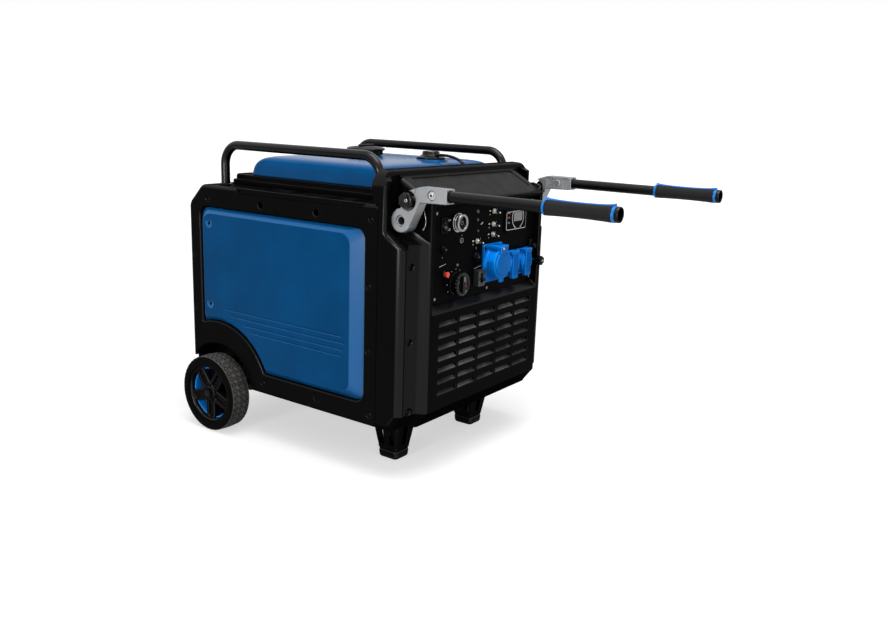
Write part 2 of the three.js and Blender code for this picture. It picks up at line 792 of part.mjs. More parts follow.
// A rail's two legs stand in the frame's top and meet its bar in round bends.
function carryingRail(side) {
  const rear = railFront + railLength;
  const low = topZ - 2 * wall + seat;
  const bendZ = topZ + railRise - railBend;
  const bendSteps = 4;
  const path = [[railFront, low]];
  for (const [centreY, startAngle] of [[railFront + railBend, Math.PI], [rear - railBend, Math.PI / 2]]) {
    for (let i = 0; i <= bendSteps; i += 1) {
      const angle = startAngle - (i * Math.PI) / 2 / bendSteps;
      path.push([centreY + railBend * Math.cos(angle), bendZ + railBend * Math.sin(angle)]);
    }
  }
  path.push([rear, low]);
  return bentTube(side * railX, path, railRadius, railFacets);
}

for (const [name, side] of sides) part(`carrying_rail_${name}`, carryingRail(side), 'blackPaint');

// ---------------------------------------------------------------- wheels, axle and feet

function axle() {
  const end = wheelOuterX - 4;
  const bar = rod('X', axleRadius, -end, end, [0, wheelY, wheelZ]);
  const collars = [LEFT, RIGHT].flatMap((side) => [
    rod('X', 13, side * (wheelInnerX - 6), side * (wheelInnerX - seat), [0, wheelY, wheelZ]),
    rod('X', 11, side * (wheelOuterX - 7 + seat), side * wheelOuterX, [0, wheelY, wheelZ], 6),
  ]);
  return union([bar, ...collars]);
}

part('axle', axle(), 'steel');

function tyre(side) {
  const half = wheelWidth / 2;
  const centre = side * (wheelOuterX - half);
  const bead = rimRadius + seat;
  const profile = [
    [bead, 8 - half], [bead + 5, 1 - half], [wheelRadius - 14, -half], [wheelRadius - 1, 12 - half],
    [wheelRadius, 0], [wheelRadius - 1, half - 12], [wheelRadius - 14, half], [bead + 5, half - 1],
    [bead, half - 8], [bead, 8 - half],
  ];
  return revolved(profile, 'X', [centre, wheelY, wheelZ], fine);
}

// Rim with a deep barrel, a hub and pairs of splayed spokes set near the outer face.
function rim(side) {
  const at = [0, wheelY, wheelZ];
  const inner = side * (wheelInnerX + 8.5);
  const outer = side * (wheelOuterX - 8.5);
  const barrel = revolved([
    [rimRadius - 5, inner], [rimRadius, inner], [rimRadius, outer], [rimRadius - 7, outer],
    [rimRadius - 5, outer - side * 12], [rimRadius - 5, inner],
  ], 'X', at, fine);
  const hub = rod('X', hubRadius, side * wheelInnerX, side * (wheelOuterX - 7), at, medium);
  const spokes = [];
  for (let i = 0; i < spokeCount; i += 1) {
    const angle = (i * 2 * Math.PI) / spokeCount + Math.PI / 2;
    for (const lean of [-1, 1]) {
      const wide = (2 * Math.PI) / spokeCount;
      const from = angle + lean * wide * 0.05;
      const to = angle + lean * wide * 0.2;
      const across = 4.2;
      const start = [wheelY + (hubRadius - 4) * Math.cos(from), wheelZ + (hubRadius - 4) * Math.sin(from)];
      const end = [wheelY + (rimRadius - 3) * Math.cos(to), wheelZ + (rimRadius - 3) * Math.sin(to)];
      const run = Math.hypot(end[0] - start[0], end[1] - start[1]);
      const nx = (-(end[1] - start[1]) / run) * across;
      const ny = ((end[0] - start[0]) / run) * across;
      spokes.push(alongX(outline([
        [start[0] - nx, start[1] - ny], [end[0] - nx * 0.8, end[1] - ny * 0.8],
        [end[0] + nx * 0.8, end[1] + ny * 0.8], [start[0] + nx, start[1] + ny],
      ]), side * (wheelOuterX - 20), side * (wheelOuterX - 9)));
    }
  }
  const bore = bored('X', axleRadius + runningGap, side * (wheelInnerX - 1), side * wheelOuterX, at);
  return union([barrel, hub, ...spokes]).subtract(bore);
}

// Blue disc pressed in between hub and barrel, showing between the spokes.
function wheelInsert(side) {
  const at = [0, wheelY, wheelZ];
  const back = side * (wheelOuterX - 26 + seat);
  const front = side * (wheelOuterX - 20 - seat);
  return revolved([
    [hubRadius + seat, back], [rimRadius - 6.5 - seat, back], [rimRadius - 6.5 - seat, front],
    [hubRadius + seat, front], [hubRadius + seat, back],
  ], 'X', at, fine);
}

for (const [name, side] of sides) {
  part(`tyre_${name}`, tyre(side), 'rubber');
  part(`wheel_rim_${name}`, rim(side), 'blackPlastic');
  part(`wheel_insert_${name}`, wheelInsert(side), 'gripBlue');
}

// Tapered foot bracket with two windows on each side face, open underneath, on a rubber pad.
function foot(side) {
  const [x, y] = [side * footX, footY];
  const top = baseZ - seat;
  const frustum = (inset, low, high) => {
    const at = (spread, z) => level(
      x - footWidth / 2 - spread + inset, x + footWidth / 2 + spread - inset,
      y - footLength / 2 - spread + inset, y + footLength / 2 + spread - inset, 4, z);
    return lofted([at(0, low), at(4, low + (high - low) * 0.25), at(15, high)], 1);
  };
  const shell = frustum(0, padHeight, top).subtract(frustum(4, padHeight + 12, top + 4));
  const windows = [];
  for (const row of [-1, 1]) {
    const opening = outline([
      [y + row * 14 - 7, padHeight + 14], [y + row * 14 + 7, padHeight + 14],
      [y + row * 17 + 9, top - 12], [y + row * 17 - 9, top - 12],
    ]);
    windows.push(alongX(opening, x - footWidth, x + footWidth));
  }
  const front = outline([
    [x - 8, padHeight + 14], [x + 8, padHeight + 14], [x + 11, top - 12], [x - 11, top - 12],
  ]);
  return without(shell, [...windows, alongY(front, y - footLength, y + footLength)]);
}

function footPad(side) {
  const [x, y] = [side * footX, footY];
  const at = (inset, z) => level(
    x - footWidth / 2 + inset, x + footWidth / 2 - inset,
    y - footLength / 2 + inset, y + footLength / 2 - inset, 5, z);
  return lofted([at(3, 0), at(0, 4), at(-1, padHeight - 5), at(0, padHeight - seat)], 1);
}

for (const [name, side] of sides) {
  part(`foot_${name}`, foot(side), 'blackPlastic');
  part(`foot_pad_${name}`, footPad(side), 'rubber');
}

// ---------------------------------------------------------------- folding handles

// The bracket's side outline, drawn forward and upward from its pivot, then placed in (y, z).
function fromPivot(points) {
  return outline(points.map(([forward, up, radius]) => [pivotY - forward, pivotZ + up, radius]));
}

const gripFacets = 10;
const tubeZ = pivotZ + tubeRise;
const socketHalf = tubeRadius + 3.6;

function handleBracket(side) {
  const inner = side * (handleX - bracketWidth / 2);
  const outer = side * (handleX + bracketWidth / 2);
  const high = tubeRise + socketHalf;
  const low = tubeRise - socketHalf;
  const arm = alongX(fromPivot([
    [-8, lobeRadius - 3], [9, high - 13], [24, high - 7], [48, high], [socketLength, high, 2],
    [socketLength, low, 2], [44, low - 2, 4], [30, 4, 4], [14, -18],
  ]), inner, outer);
  const lobe = rod('X', lobeRadius, inner, outer, [0, pivotY, pivotZ], medium);
  const notch = rod('X', lockRadius + 2, inner - 50, inner + 50, [0, lockY, lockZ], medium);
  const pivotHole = bored('X', pivotPinRadius + runningGap, inner - 50, inner + 50, [0, pivotY, pivotZ], 12);
  const counterbore = rod('X', 10, outer - side * 7, outer + side, [0, pivotY, pivotZ]);
  const socket = bored(
    'Y', tubeRadius + seat, pivotY - socketLength - 1, pivotY - 52, [side * handleX, 0, tubeZ], gripFacets);
  const pockets = [];
  const bays = 3;
  const bayRun = (socketLength - 44) / bays;
  for (let i = 0; i < bays; i += 1) {
    const from = 40 + i * bayRun;
    pockets.push(alongX(
      fromPivot([[from, low + 3], [from, low + 6], [from + bayRun - 3, low + 6], [from + bayRun - 3, low + 3]]),
      inner - side, inner + side * 5));
  }
  for (const [from, to, up] of [[14, 30, 12], [24, 38, 30]]) {
    pockets.push(alongX(
      fromPivot([[from, up - 7], [from, up + 5], [to - 5, up + 5], [to - 5, up - 7]]),
      inner - side, inner + side * 8));
  }
  const body = without(arm.add(lobe), [notch, pivotHole, counterbore, socket, ...pockets]);
  return body;
}

// Hollow steel tube with a plugged outer end.
function handleTube(side) {
  const from = pivotY - 54;
  const to = pivotY - handleReach;
  return revolved([
    [0, to + 10], [tubeRadius - tubeWall, to + 10], [tubeRadius - tubeWall, from], [tubeRadius, from],
    [tubeRadius, to + 7], [gripRadius - 0.8, to + 6.5], [gripRadius - 1.5, to], [0, to],
  ], 'Y', [side * handleX, 0, tubeZ], gripFacets);
}

const gripFar = pivotY - handleReach + 7 + seat;
const gripNear = gripFar + gripLength;

// Blue core of the grip: collars at both ends joined by a sleeve with a ridge along the top.
function gripCore(side) {
  const bore = tubeRadius + seat;
  const sleeve = tubeRadius + 1.6;
  const collar = 5;
  const body = revolved([
    [bore, gripFar], [gripRadius - 0.2, gripFar], [gripRadius + 0.3, gripFar + collar],
    [sleeve, gripFar + collar], [sleeve, gripNear - collar], [gripRadius - 0.2, gripNear - collar],
    [gripRadius - 0.6, gripNear], [bore, gripNear], [bore, gripFar],
  ], 'Y', [side * handleX, 0, tubeZ], gripFacets);
  const x = side * handleX;
  const ridge = box(
    x - 3, x + 3, gripFar + collar - 1, gripNear - collar + 1, tubeZ + sleeve - 0.6, tubeZ + gripRadius);
  return body.add(ridge);
}

// Black rubber sleeve, slightly waisted, slit along the top for the core's ridge.
function gripSleeve(side) {
  const bore = tubeRadius + 1.6 + seat;
  const far = gripFar + 5 + seat;
  const near = gripNear - 5 - seat;
  const run = near - far;
  const x = side * handleX;
  const body = revolved([
    [bore, far], [gripRadius + 0.6, far], [gripRadius - 0.1, far + run * 0.3],
    [gripRadius - 0.3, far + run * 0.6], [gripRadius, near], [bore, near], [bore, far],
  ], 'Y', [x, 0, tubeZ], gripFacets);
  const slit = box(x - 3 - seat, x + 3 + seat, far - 1, near + 1, tubeZ + 4, tubeZ + 40);
  return body.subtract(slit);
}

// Round pull knob: its head lies outside the bracket, so only the stem passes through the notch.
function lockKnob(side) {
  const at = [0, lockY, lockZ];
  const pinEnd = faceHalfWidth - wall - 3;
  const bracketInner = handleX - bracketWidth / 2;
  const head = handleX + bracketWidth / 2 + 2 * seat;
  const outer = head + lockHeadDepth;
  const profile = [
    [0, pinEnd], [lockPinRadius, pinEnd], [lockPinRadius, bracketInner], [lockPinRadius + 3, bracketInner],
    [lockPinRadius + 3, head], [lockRadius - 2, head], [lockRadius, head + 2], [lockRadius, outer - 3],
    [lockRadius - 3, outer], [0, outer],
  ];
  return revolved(profile.map(([radius, place]) => [radius, side * place]), 'X', at, medium);
}

for (const [name, side] of sides) {
  part(`handle_bracket_${name}`, handleBracket(side), 'castAluminium');
  part(`handle_tube_${name}`, handleTube(side), 'blackPaint');
  part(`grip_core_${name}`, gripCore(side), 'gripBlue');
  part(`grip_sleeve_${name}`, gripSleeve(side), 'rubber');
  part(`lock_knob_${name}`, lockKnob(side), 'blackPlastic');
}

// ---------------------------------------------------------------- control panel

// Places on the panel as [x, height above the recess floor].
const rockerAt = [-157, 166];
const startAt = [-107, 168];
const knobAt = [-109, 38];
const resetAt = [-153, 63];
const breakerAt = [[-159, 116, 8], [-34, 86, 11]];
const toggleAt = [[-33, 121], [30, 182], [29, 153], [28, 130]];
const leverAt = [-26, 39];
const displayAt = [124, 154];
const ceeAt = [28, 67];
const schukoAt = [[103, 55], [160, 55]];
const earthAt = [197, 54];
const lampAt = [[-34, 186], [-33, 167], [-31, 143]];

function onPanel([x, height]) {
  return [x, 0, recessFloorZ + height];
}

const frontOf = (distance) => panelY - distance;
const leverBlock = { width: 26, height: 36, depth: 13 };

function controlPanel() {
  const gap = seat;
  const plate = box(
    -recessHalfWidth + gap, recessHalfWidth - gap, panelY, panelY + panelPlate,
    recessFloorZ + gap, recessTopZ - gap);
  const raised = [];
  const sunk = [];
  for (const place of toggleAt) {
    raised.push(rod('Y', 6, frontOf(5), panelY + 1, onPanel(place), 6));
    sunk.push(rod('Y', 3.4, frontOf(6), panelY - 0.5, onPanel(place), 8));
  }
  for (const place of lampAt) raised.push(rod('Y', 4, frontOf(2.5), panelY + 1, onPanel(place), 8));
  for (const [x, z, radius] of breakerAt) {
    raised.push(rod('Y', radius, frontOf(5), panelY + 1, onPanel([x, z]), 10));
    sunk.push(bored('Y', radius * 0.6 + runningGap, frontOf(6), panelY + panelPlate + 1, onPanel([x, z]), 10));
  }
  raised.push(rod('Y', 8.5, frontOf(5), panelY + 1, onPanel(resetAt), 10));
  sunk.push(bored('Y', 5 + runningGap, frontOf(6), panelY + panelPlate + 1, onPanel(resetAt), 10));
  raised.push(rod('Y', 3, frontOf(38), panelY + 1, onPanel(earthAt), 8));
  raised.push(rod('Y', 8, frontOf(5), panelY + 1, onPanel(earthAt), 6));
  sunk.push(bored('Y', 4 + runningGap, panelY - 1, panelY + panelPlate + 1, onPanel(knobAt), 12));
  const [rockerX, , rockerZ] = onPanel(rockerAt);
  raised.push(box(rockerX - 11, rockerX + 11, frontOf(3), panelY + 1, rockerZ - 16, rockerZ + 16));
  sunk.push(box(rockerX - 7.8, rockerX + 7.8, frontOf(4), panelY + 6, rockerZ - 12, rockerZ + 12));
  const [leverX, , leverZ] = onPanel(leverAt);
  const { width, height, depth } = leverBlock;
  raised.push(box(
    leverX - width / 2, leverX + width / 2, frontOf(depth), panelY + 1, leverZ - height / 2, leverZ + height / 2));
  sunk.push(box(leverX - 4.8, leverX + 4.8, frontOf(depth + 1), frontOf(2), leverZ - 11, leverZ + 11));
  return without(union([plate, ...raised]), sunk);
}

part('control_panel', controlPanel(), 'panelBlack');

// Rocker: two flats meeting at a shallow crease, tipped to its OFF side.
function rockerSwitch() {
  const [x, , z] = onPanel(rockerAt);
  const shape = outline([
    [-6.5, -10], [-1.5, 0], [-6.5, 10], [1.5, 10], [3.2, 0], [1.5, -10],
  ]);
  const turn = new THREE.Matrix4().makeRotationX(THREE.MathUtils.degToRad(-7));
  const matrix = new THREE.Matrix4().makeTranslation(0, frontOf(1), z).multiply(turn)
    .multiply(shifted(axesX, x - 7.5, 0, 0));
  return placed(prism(shape, 15, 1), matrix);
}

part('rocker_switch', rockerSwitch(), 'blackPlastic');

function startBezel() {
  const back = frontOf(seat);
  const front = frontOf(14);
  return revolved([
    [0, back], [15, back], [15, front + 6], [19, front + 5], [19, front + 1.5], [17.5, front],
    [13, front], [13, back - 2.5], [0, back - 2.5],
  ], 'Y', onPanel(startAt), medium);
}

function startButton() {
  const front = frontOf(13);
  return revolved([
    [0, frontOf(seat + 7)], [13 - runningGap, frontOf(seat + 7)], [13 - runningGap, front + 1], [11, front],
    [0, front + 1],
  ], 'Y', onPanel(startAt), medium);
}

part('start_bezel', startBezel(), 'chrome');
part('start_button', startButton(), 'blackPlastic');

// Large fluted engine switch with a raised pointer bar across its face.
function engineKnob() {
  const at = onPanel(knobAt);
  const flutes = 10;
  const shape = new THREE.Shape();
  for (let i = 0; i <= flutes * 2; i += 1) {
    const angle = (i * Math.PI) / flutes;
    const radius = i % 2 ? 26 : 23.6;
    const point = [at[0] + radius * Math.cos(angle), at[2] + radius * Math.sin(angle)];
    if (i === 0) shape.moveTo(...point);
    else shape.lineTo(...point);
  }
  const grip = alongY(shape, frontOf(21), frontOf(4), 1);
  const skirt = rod('Y', 25, frontOf(5), frontOf(seat), at, medium);
  const face = rod('Y', 20, frontOf(22.5), frontOf(20), at, medium);
  const pointer = box(at[0] - 3, at[0] + 3, frontOf(25), frontOf(21), at[2] - 17, at[2] + 18);
  const shaft = rod('Y', 4, frontOf(1), panelY + panelPlate, at, 12);
  return union([grip, skirt, face, pointer, shaft]);
}

part('engine_knob', engineKnob(), 'blackPlastic');

function pushButton(place, radius, front) {
  return revolved([
    [0, panelY + 1], [radius, panelY + 1], [radius, frontOf(front - 1)], [radius - 1, frontOf(front)],
    [0, frontOf(front)],
  ], 'Y', onPanel(place), 10);
}

part('reset_button', pushButton(resetAt, 5, 11), 'red');
breakerAt.forEach(([x, z, radius], i) => {
  part(`breaker_button_${i + 1}`, pushButton([x, z], radius * 0.6, 9), 'blackPlastic');
});

// Bat-handled toggle, drawn tipped to its lower position about the ball in its bushing.
function toggle(place) {
  const at = onPanel(place);
  const turn = new THREE.Matrix4().makeRotationX(THREE.MathUtils.degToRad(12));
  const profile = [
    [0, 2.6], [2.2, 1.8], [3, 0], [2.2, -2], [1.5, -3], [2.3, -13], [1.6, -14.6], [0, -15],
  ].map(([radius, along]) => new THREE.Vector2(radius, along));
  const lever = new THREE.LatheGeometry(profile, 6);
  return placed(lever, shifted(turn, at[0], frontOf(4), at[2]));
}

toggleAt.forEach((place, i) => part(`toggle_${i + 1}`, toggle(place), 'brass'));

function breakerLever() {
  const [x, , z] = onPanel(leverAt);
  const pivot = frontOf(leverBlock.depth - 5);
  const hub = rod('X', 4.5, x - 4.4, x + 4.4, [0, pivot, z], 12);
  const turn = new THREE.Matrix4().makeRotationX(THREE.MathUtils.degToRad(20));
  const shape = rectangle(-12, 0, -3, 3);
  const matrix = new THREE.Matrix4().makeTranslation(0, pivot, z).multiply(turn)
    .multiply(shifted(axesX, x - 4.4, 0, 0));
  return hub.add(placed(prism(shape, 8.8, 1), matrix));
}

part('breaker_lever', breakerLever(), 'blackPlastic');

// A lid turns about its knuckle, which lies just above its plate between the socket's two ears.
const knuckleRadius = 3.4;
const hingeRise = 1.2;
const earWidth = 2.4;

function hingeLine(z, height, front) {
  return [0, front - knuckleRadius, z + height / 2 + hingeRise];
}

// Lid hinged along its top edge: a plate with a domed boss, knuckle and thumb tab.
function socketLid({ at: [x, , z], width, height, front, dome, thickness }) {
  const plate = alongY(
    rectangle(x - width / 2, x + width / 2, z - height / 2, z + height / 2, width / 4),
    front - thickness, front, 2);
  const cup = revolved([
    [0, front - 2], [dome, front - 2], [dome - 1, front - thickness - 3],
    [dome - 6, front - thickness - 7], [0, front - thickness - 8],
  ], 'Y', [x, 0, z], medium);
  const tab = alongY(outline([
    [x - 8, z - height / 2 + 3], [x - 6, z - height / 2 - 7, 2], [x + 6, z - height / 2 - 7, 2],
    [x + 8, z - height / 2 + 3],
  ]), front - thickness, front);
  const knuckle = rod('X', knuckleRadius, x - width / 2, x + width / 2, hingeLine(z, height, front), 8);
  const web = box(
    x - width / 3, x + width / 3, front - thickness, front - 2, z + height / 2 - 5, z + height / 2 + 2);
  return union([plate, cup, tab, knuckle, web]);
}

// Flanged socket: square plate, round barrel with a contact face sunk in it, and hinge ears.
function socket({ at: [x, , z], width, height, barrel, reach, lid }) {
  const back = frontOf(seat);
  const front = frontOf(reach);
  const flange = alongY(
    rectangle(x - width / 2, x + width / 2, z - height / 2, z + height / 2, 5), back - 5, back, 1);
  const tube = rod('Y', barrel, front, back - 4, [x, 0, z], medium);
  const well = rod('Y', barrel - 4, front - 1, front + 12, [x, 0, z], medium);
  const ears = [-1, 1].map((end) => box(
    x + end * (lid.width / 2 + seat), x + end * (lid.width / 2 + seat + earWidth),
    front - seat - 2 * knuckleRadius, back - 4,
    z + lid.height / 2 + hingeRise - knuckleRadius, z + lid.height / 2 + hingeRise + knuckleRadius));
  return union([flange, tube, ...ears]).subtract(well);
}

const sockets = [
  {
    name: 'cee', at: onPanel(ceeAt), width: 76, height: 86, barrel: 33, reach: 26,
    lid: { width: 66, height: 72, dome: 27, thickness: 6 },
  },
  ...schukoAt.map((place, i) => ({
    name: `schuko_${i + 1}`, at: onPanel(place), width: 52, height: 66, barrel: 21.5, reach: 13,
    lid: { width: 46, height: 52, dome: 19, thickness: 4 },
  })),
];

for (const item of sockets) {
  part(`${item.name}_socket`, socket(item), 'socketBlue');
  const front = frontOf(item.reach + seat);
  part(`${item.name}_lid`, socketLid({ at: item.at, front, ...item.lid }), 'socketBlue');
}

function displayModule() {
  const [x, , z] = onPanel(displayAt);
  const frame = alongY(rectangle(x - 47, x + 47, z - 26, z + 26, 6), frontOf(4), frontOf(seat), 2);
  const face = alongY(rectangle(x - 44, x + 44, z - 23, z + 23, 4), frontOf(5), frontOf(2.6), 2);
  return frame.subtract(face);
}

part('display_module', displayModule(), 'displayGrey');

// Six-lobed clamp knob on the earth stud.
function earthKnob() {
  const at = onPanel(earthAt);
  const lobes = 6;
  const shape = new THREE.Shape();
  for (let i = 0; i <= lobes * 3; i += 1) {
    const angle = (i * 2 * Math.PI) / (lobes * 3);
    const radius = 10 + 1.2 * Math.cos(lobes * angle);
    const point = [at[0] + radius * Math.cos(angle), at[2] + radius * Math.sin(angle)];
    if (i === 0) shape.moveTo(...point);
    else shape.lineTo(...point);
  }
  const knob = alongY(shape, frontOf(37), frontOf(23), 1);
  const neck = rod('Y', 6, frontOf(24), frontOf(18), at, 12);
  const bore = bored('Y', 3 + runningGap, frontOf(50), frontOf(5), at, 12);
  return knob.add(neck).subtract(bore);
}

part('earth_knob', earthKnob(), 'blackPlastic');

// ---------------------------------------------------------------- engine bay

// Engine: crankcase on four legs, finned cylinder leaning over, and the alternator housing in front.
function engineBlock() {
  const centre = [0, 0, crankHeight];
  const half = 88;
  const crankcase = alongY(
    rectangle(-half, half, crankHeight - 92, crankHeight + 78, 24), crankcaseFront, crankcaseRear, 2);
  const housing = rod('Y', alternatorRadius, alternatorFront, crankcaseFront + 2, centre, medium);
  const cavity = rod('Y', alternatorRadius - 7, alternatorFront - 1, crankcaseFront - 8, centre, medium);
  const legs = [];
  for (const x of [-1, 1]) {
    for (const y of [crankcaseFront + 12, crankcaseRear - 12]) {
      legs.push(box(
        x * (half - 26), x * half, y - 10, y + 10, trayFloorZ + seat, crankHeight - 80));
    }
  }
  const lean = new THREE.Matrix4().makeRotationY(THREE.MathUtils.degToRad(24));
  const fins = 4;
  const profile = [[0, 40]];
  for (let i = 0; i < fins; i += 1) {
    const low = 66 + i * 15;
    profile.push([42, low], [62, low + 3], [62, low + 5.5], [42, low + 8]);
  }
  profile.push([46, 146], [46, 176], [0, 180]);
  const points = profile.map(([radius, along]) => new THREE.Vector2(radius, along));
  const barrelY = crankcaseFront + crankcaseLength / 2;
  const matrix = new THREE.Matrix4().makeTranslation(0, barrelY, crankHeight).multiply(lean)
    .multiply(axisTurn.Z);
  const cylinder = placed(new THREE.LatheGeometry(points, 8), matrix);
  const bore = bored('Y', 12 + runningGap, alternatorFront - 1, crankcaseRear + 1, centre, 12);
  const cleaner = box(-150, -60, crankcaseFront + 20, crankcaseRear - 10, crankHeight + 60, crankHeight + 150);
  return union([crankcase, housing, ...legs, cylinder, cleaner]).subtract(cavity).subtract(bore);
}

part('engine_block', engineBlock(), 'castIron');

// Crankshaft with the magnet rotor and the cooling fan that turn on it.
function crankshaft() {
  const centre = [0, 0, crankHeight];
  const shaft = rod('Y', 12, alternatorFront - 45, crankcaseRear, centre, 12);
  const rotor = rod('Y', alternatorRadius - 16, alternatorFront + 6, crankcaseFront - 16, centre, medium);
  const disc = rod('Y', 84, alternatorFront - 14, alternatorFront - 10, centre, medium);
  const blades = [];
  const count = 7;
  for (let i = 0; i < count; i += 1) {
    const turn = new THREE.Matrix4().makeRotationY((i * 2 * Math.PI) / count);
    const blade = new THREE.BoxGeometry(54, 26, 3).translate(52, 0, 0)
      .applyMatrix4(new THREE.Matrix4().makeRotationX(0.35));
    const matrix = new THREE.Matrix4().makeTranslation(0, alternatorFront - 25, crankHeight).multiply(turn);
    blades.push(placed(blade, matrix));
  }
  const hub = rod('Y', 30, alternatorFront - 38, alternatorFront + 7, centre, 12);
  return union([shaft, rotor, disc, hub, ...blades]);
}

part('crankshaft_fan', crankshaft(), 'steel');

// Muffler box behind the engine, its inlet on the crankcase and its tail in the rear cover.
function mufflerBox() {
  const [halfWidth, halfHeight] = [muffler.width / 2, muffler.height / 2];
  const body = alongY(
    rectangle(
      muffler.x - halfWidth, muffler.x + halfWidth, muffler.z - halfHeight, muffler.z + halfHeight, 34),
    mufflerFront, mufflerRear, 3);
  const inletZ = crankHeight + 50;
  const inlet = rod('Y', 16, crankcaseRear + seat, mufflerFront + 40, [muffler.x, 0, inletZ]);
  const riser = rod('Z', 16, inletZ, muffler.z - 20, [muffler.x, mufflerFront + 24, 0]);
  const tail = revolved([
    [muffler.radius - 3, mufflerRear - 8], [muffler.radius, mufflerRear - 8], [muffler.radius, rearFace - 1],
    [muffler.radius - 3, rearFace - 1], [muffler.radius - 3, mufflerRear - 8],
  ], 'Y', [muffler.x, 0, muffler.z], medium);
  const bore = rod('Y', muffler.radius - 3, mufflerRear - 8, rearFace, [muffler.x, 0, muffler.z], medium);
  return union([body, inlet, riser]).subtract(bore).add(tail);
}

part('muffler', mufflerBox(), 'steel');

// Inverter: cast heat sink whose fins face the front louvres.
function inverter() {
  const half = 186;
  const back = -8;
  const fins = 14;
  const pitch = (2 * half - 4) / (fins - 1);
  const shape = new THREE.Shape();
  shape.moveTo(-half, back);
  shape.lineTo(-half, back - 12);
  for (let i = 0; i < fins; i += 1) {
    const x = -half + i * pitch;
    const root = back - 12;
    const tip = faceY + louvreDepth + 8;
    if (i > 0) shape.lineTo(x, root);
    shape.lineTo(x, tip);
    shape.lineTo(x + 4, tip);
    shape.lineTo(x + 4, root);
  }
  shape.lineTo(half, back);
  shape.closePath();
  const low = trayFloorZ + seat;
  const sinkTop = recessFloorZ - 24;
  const sink = alongZ(shape, low + 34, sinkTop);
  const stand = box(-half + 20, half - 20, back - 12, back, low, low + 36);
  return sink.add(stand);
}

part('inverter', inverter(), 'castAluminium');

function battery() {
  const left = -innerX + 11;
  const low = trayFloorZ + seat;
  const rear = batteryFront + batteryLength;
  const body = box(left, left + batteryWidth, batteryFront, rear, low, low + batteryHeight);
  const lid = box(
    left - 1.5, left + batteryWidth + 1.5, batteryFront - 1.5, rear + 1.5,
    low + batteryHeight - 6, low + batteryHeight + 8);
  const posts = [16, batteryWidth - 16].map((x) => rod(
    'Z', 7, low + batteryHeight + 7, low + batteryHeight + 18, [left + x, batteryFront + 24, 0], 12));
  return union([body, lid, ...posts]);
}

part('battery', battery(), 'blackPlastic');

// ---------------------------------------------------------------- origin

// Centre of the footprint: between the grip ends and the rear cover.
generator.position.y = -(rearFace + pivotY - handleReach) / 2;

export default generator;
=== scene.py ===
# %% [markdown]
# # A closed inverter generator on wheels
#
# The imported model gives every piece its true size, place and joint. This file gives the pieces
# their looks: rounded mouldings, turned knobs, tread, labels and finishes. Each step first says
# what the piece is on the real machine and how it is made here.
#
# Everything is in metres: +Z is up, the control panel faces -Y, and +X is on the right of someone
# facing the panel. Drawing is done in millimetres.

# %% Load the fixed frame
import json
import math

import bmesh
import bpy
import numpy as np
from mathutils import Euler, Matrix, Vector


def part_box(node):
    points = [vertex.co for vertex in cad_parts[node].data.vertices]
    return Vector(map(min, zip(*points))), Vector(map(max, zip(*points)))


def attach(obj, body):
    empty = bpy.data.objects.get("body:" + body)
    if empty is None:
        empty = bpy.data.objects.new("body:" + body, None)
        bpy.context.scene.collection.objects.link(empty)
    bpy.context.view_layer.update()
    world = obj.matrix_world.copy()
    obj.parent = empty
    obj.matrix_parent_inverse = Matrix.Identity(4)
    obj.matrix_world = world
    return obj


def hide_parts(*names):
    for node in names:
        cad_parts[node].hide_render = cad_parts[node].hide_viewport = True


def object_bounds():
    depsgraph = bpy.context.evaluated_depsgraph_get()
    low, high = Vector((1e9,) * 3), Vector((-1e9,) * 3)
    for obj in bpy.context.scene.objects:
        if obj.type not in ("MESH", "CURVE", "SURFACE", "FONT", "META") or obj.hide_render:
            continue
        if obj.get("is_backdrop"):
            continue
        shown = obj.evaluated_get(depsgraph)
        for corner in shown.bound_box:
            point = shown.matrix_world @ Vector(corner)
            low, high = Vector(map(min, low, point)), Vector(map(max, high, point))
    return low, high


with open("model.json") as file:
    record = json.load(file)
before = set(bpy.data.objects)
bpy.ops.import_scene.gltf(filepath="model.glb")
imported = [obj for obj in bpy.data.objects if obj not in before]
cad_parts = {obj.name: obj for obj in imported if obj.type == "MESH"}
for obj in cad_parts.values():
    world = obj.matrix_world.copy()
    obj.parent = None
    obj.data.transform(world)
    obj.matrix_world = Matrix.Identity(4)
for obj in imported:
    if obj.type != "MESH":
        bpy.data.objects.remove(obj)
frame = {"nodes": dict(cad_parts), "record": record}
cad_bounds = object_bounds()

# %% [markdown]
# ## Grids of points
#
# A moulding, a turned knob and a bent tube are all the same thing to a mesh: rows of points, joined
# by four-sided faces. Every row closes on itself, and the first and last rows end in flat caps
# unless the rows close on themselves too. Keeping one builder for all of them keeps every piece
# closed and facing outward.

# %% Grid builder
MM = 0.001


def link(mesh):
    piece = bpy.data.objects.new("part", mesh)
    bpy.context.collection.objects.link(piece)
    return piece


def reworked(mesh, change):
    """Runs a change on the mesh in its editable form."""
    work = bmesh.new()
    work.from_mesh(mesh)
    change(work)
    work.to_mesh(mesh)
    work.free()
    return mesh


def close_seams(work):
    """Closes seams and poles, drops faces that shrank to nothing and turns all faces outward."""
    bmesh.ops.remove_doubles(work, verts=work.verts, dist=1e-6)
    bmesh.ops.dissolve_degenerate(work, edges=work.edges, dist=1e-7)
    bmesh.ops.recalc_face_normals(work, faces=work.faces)


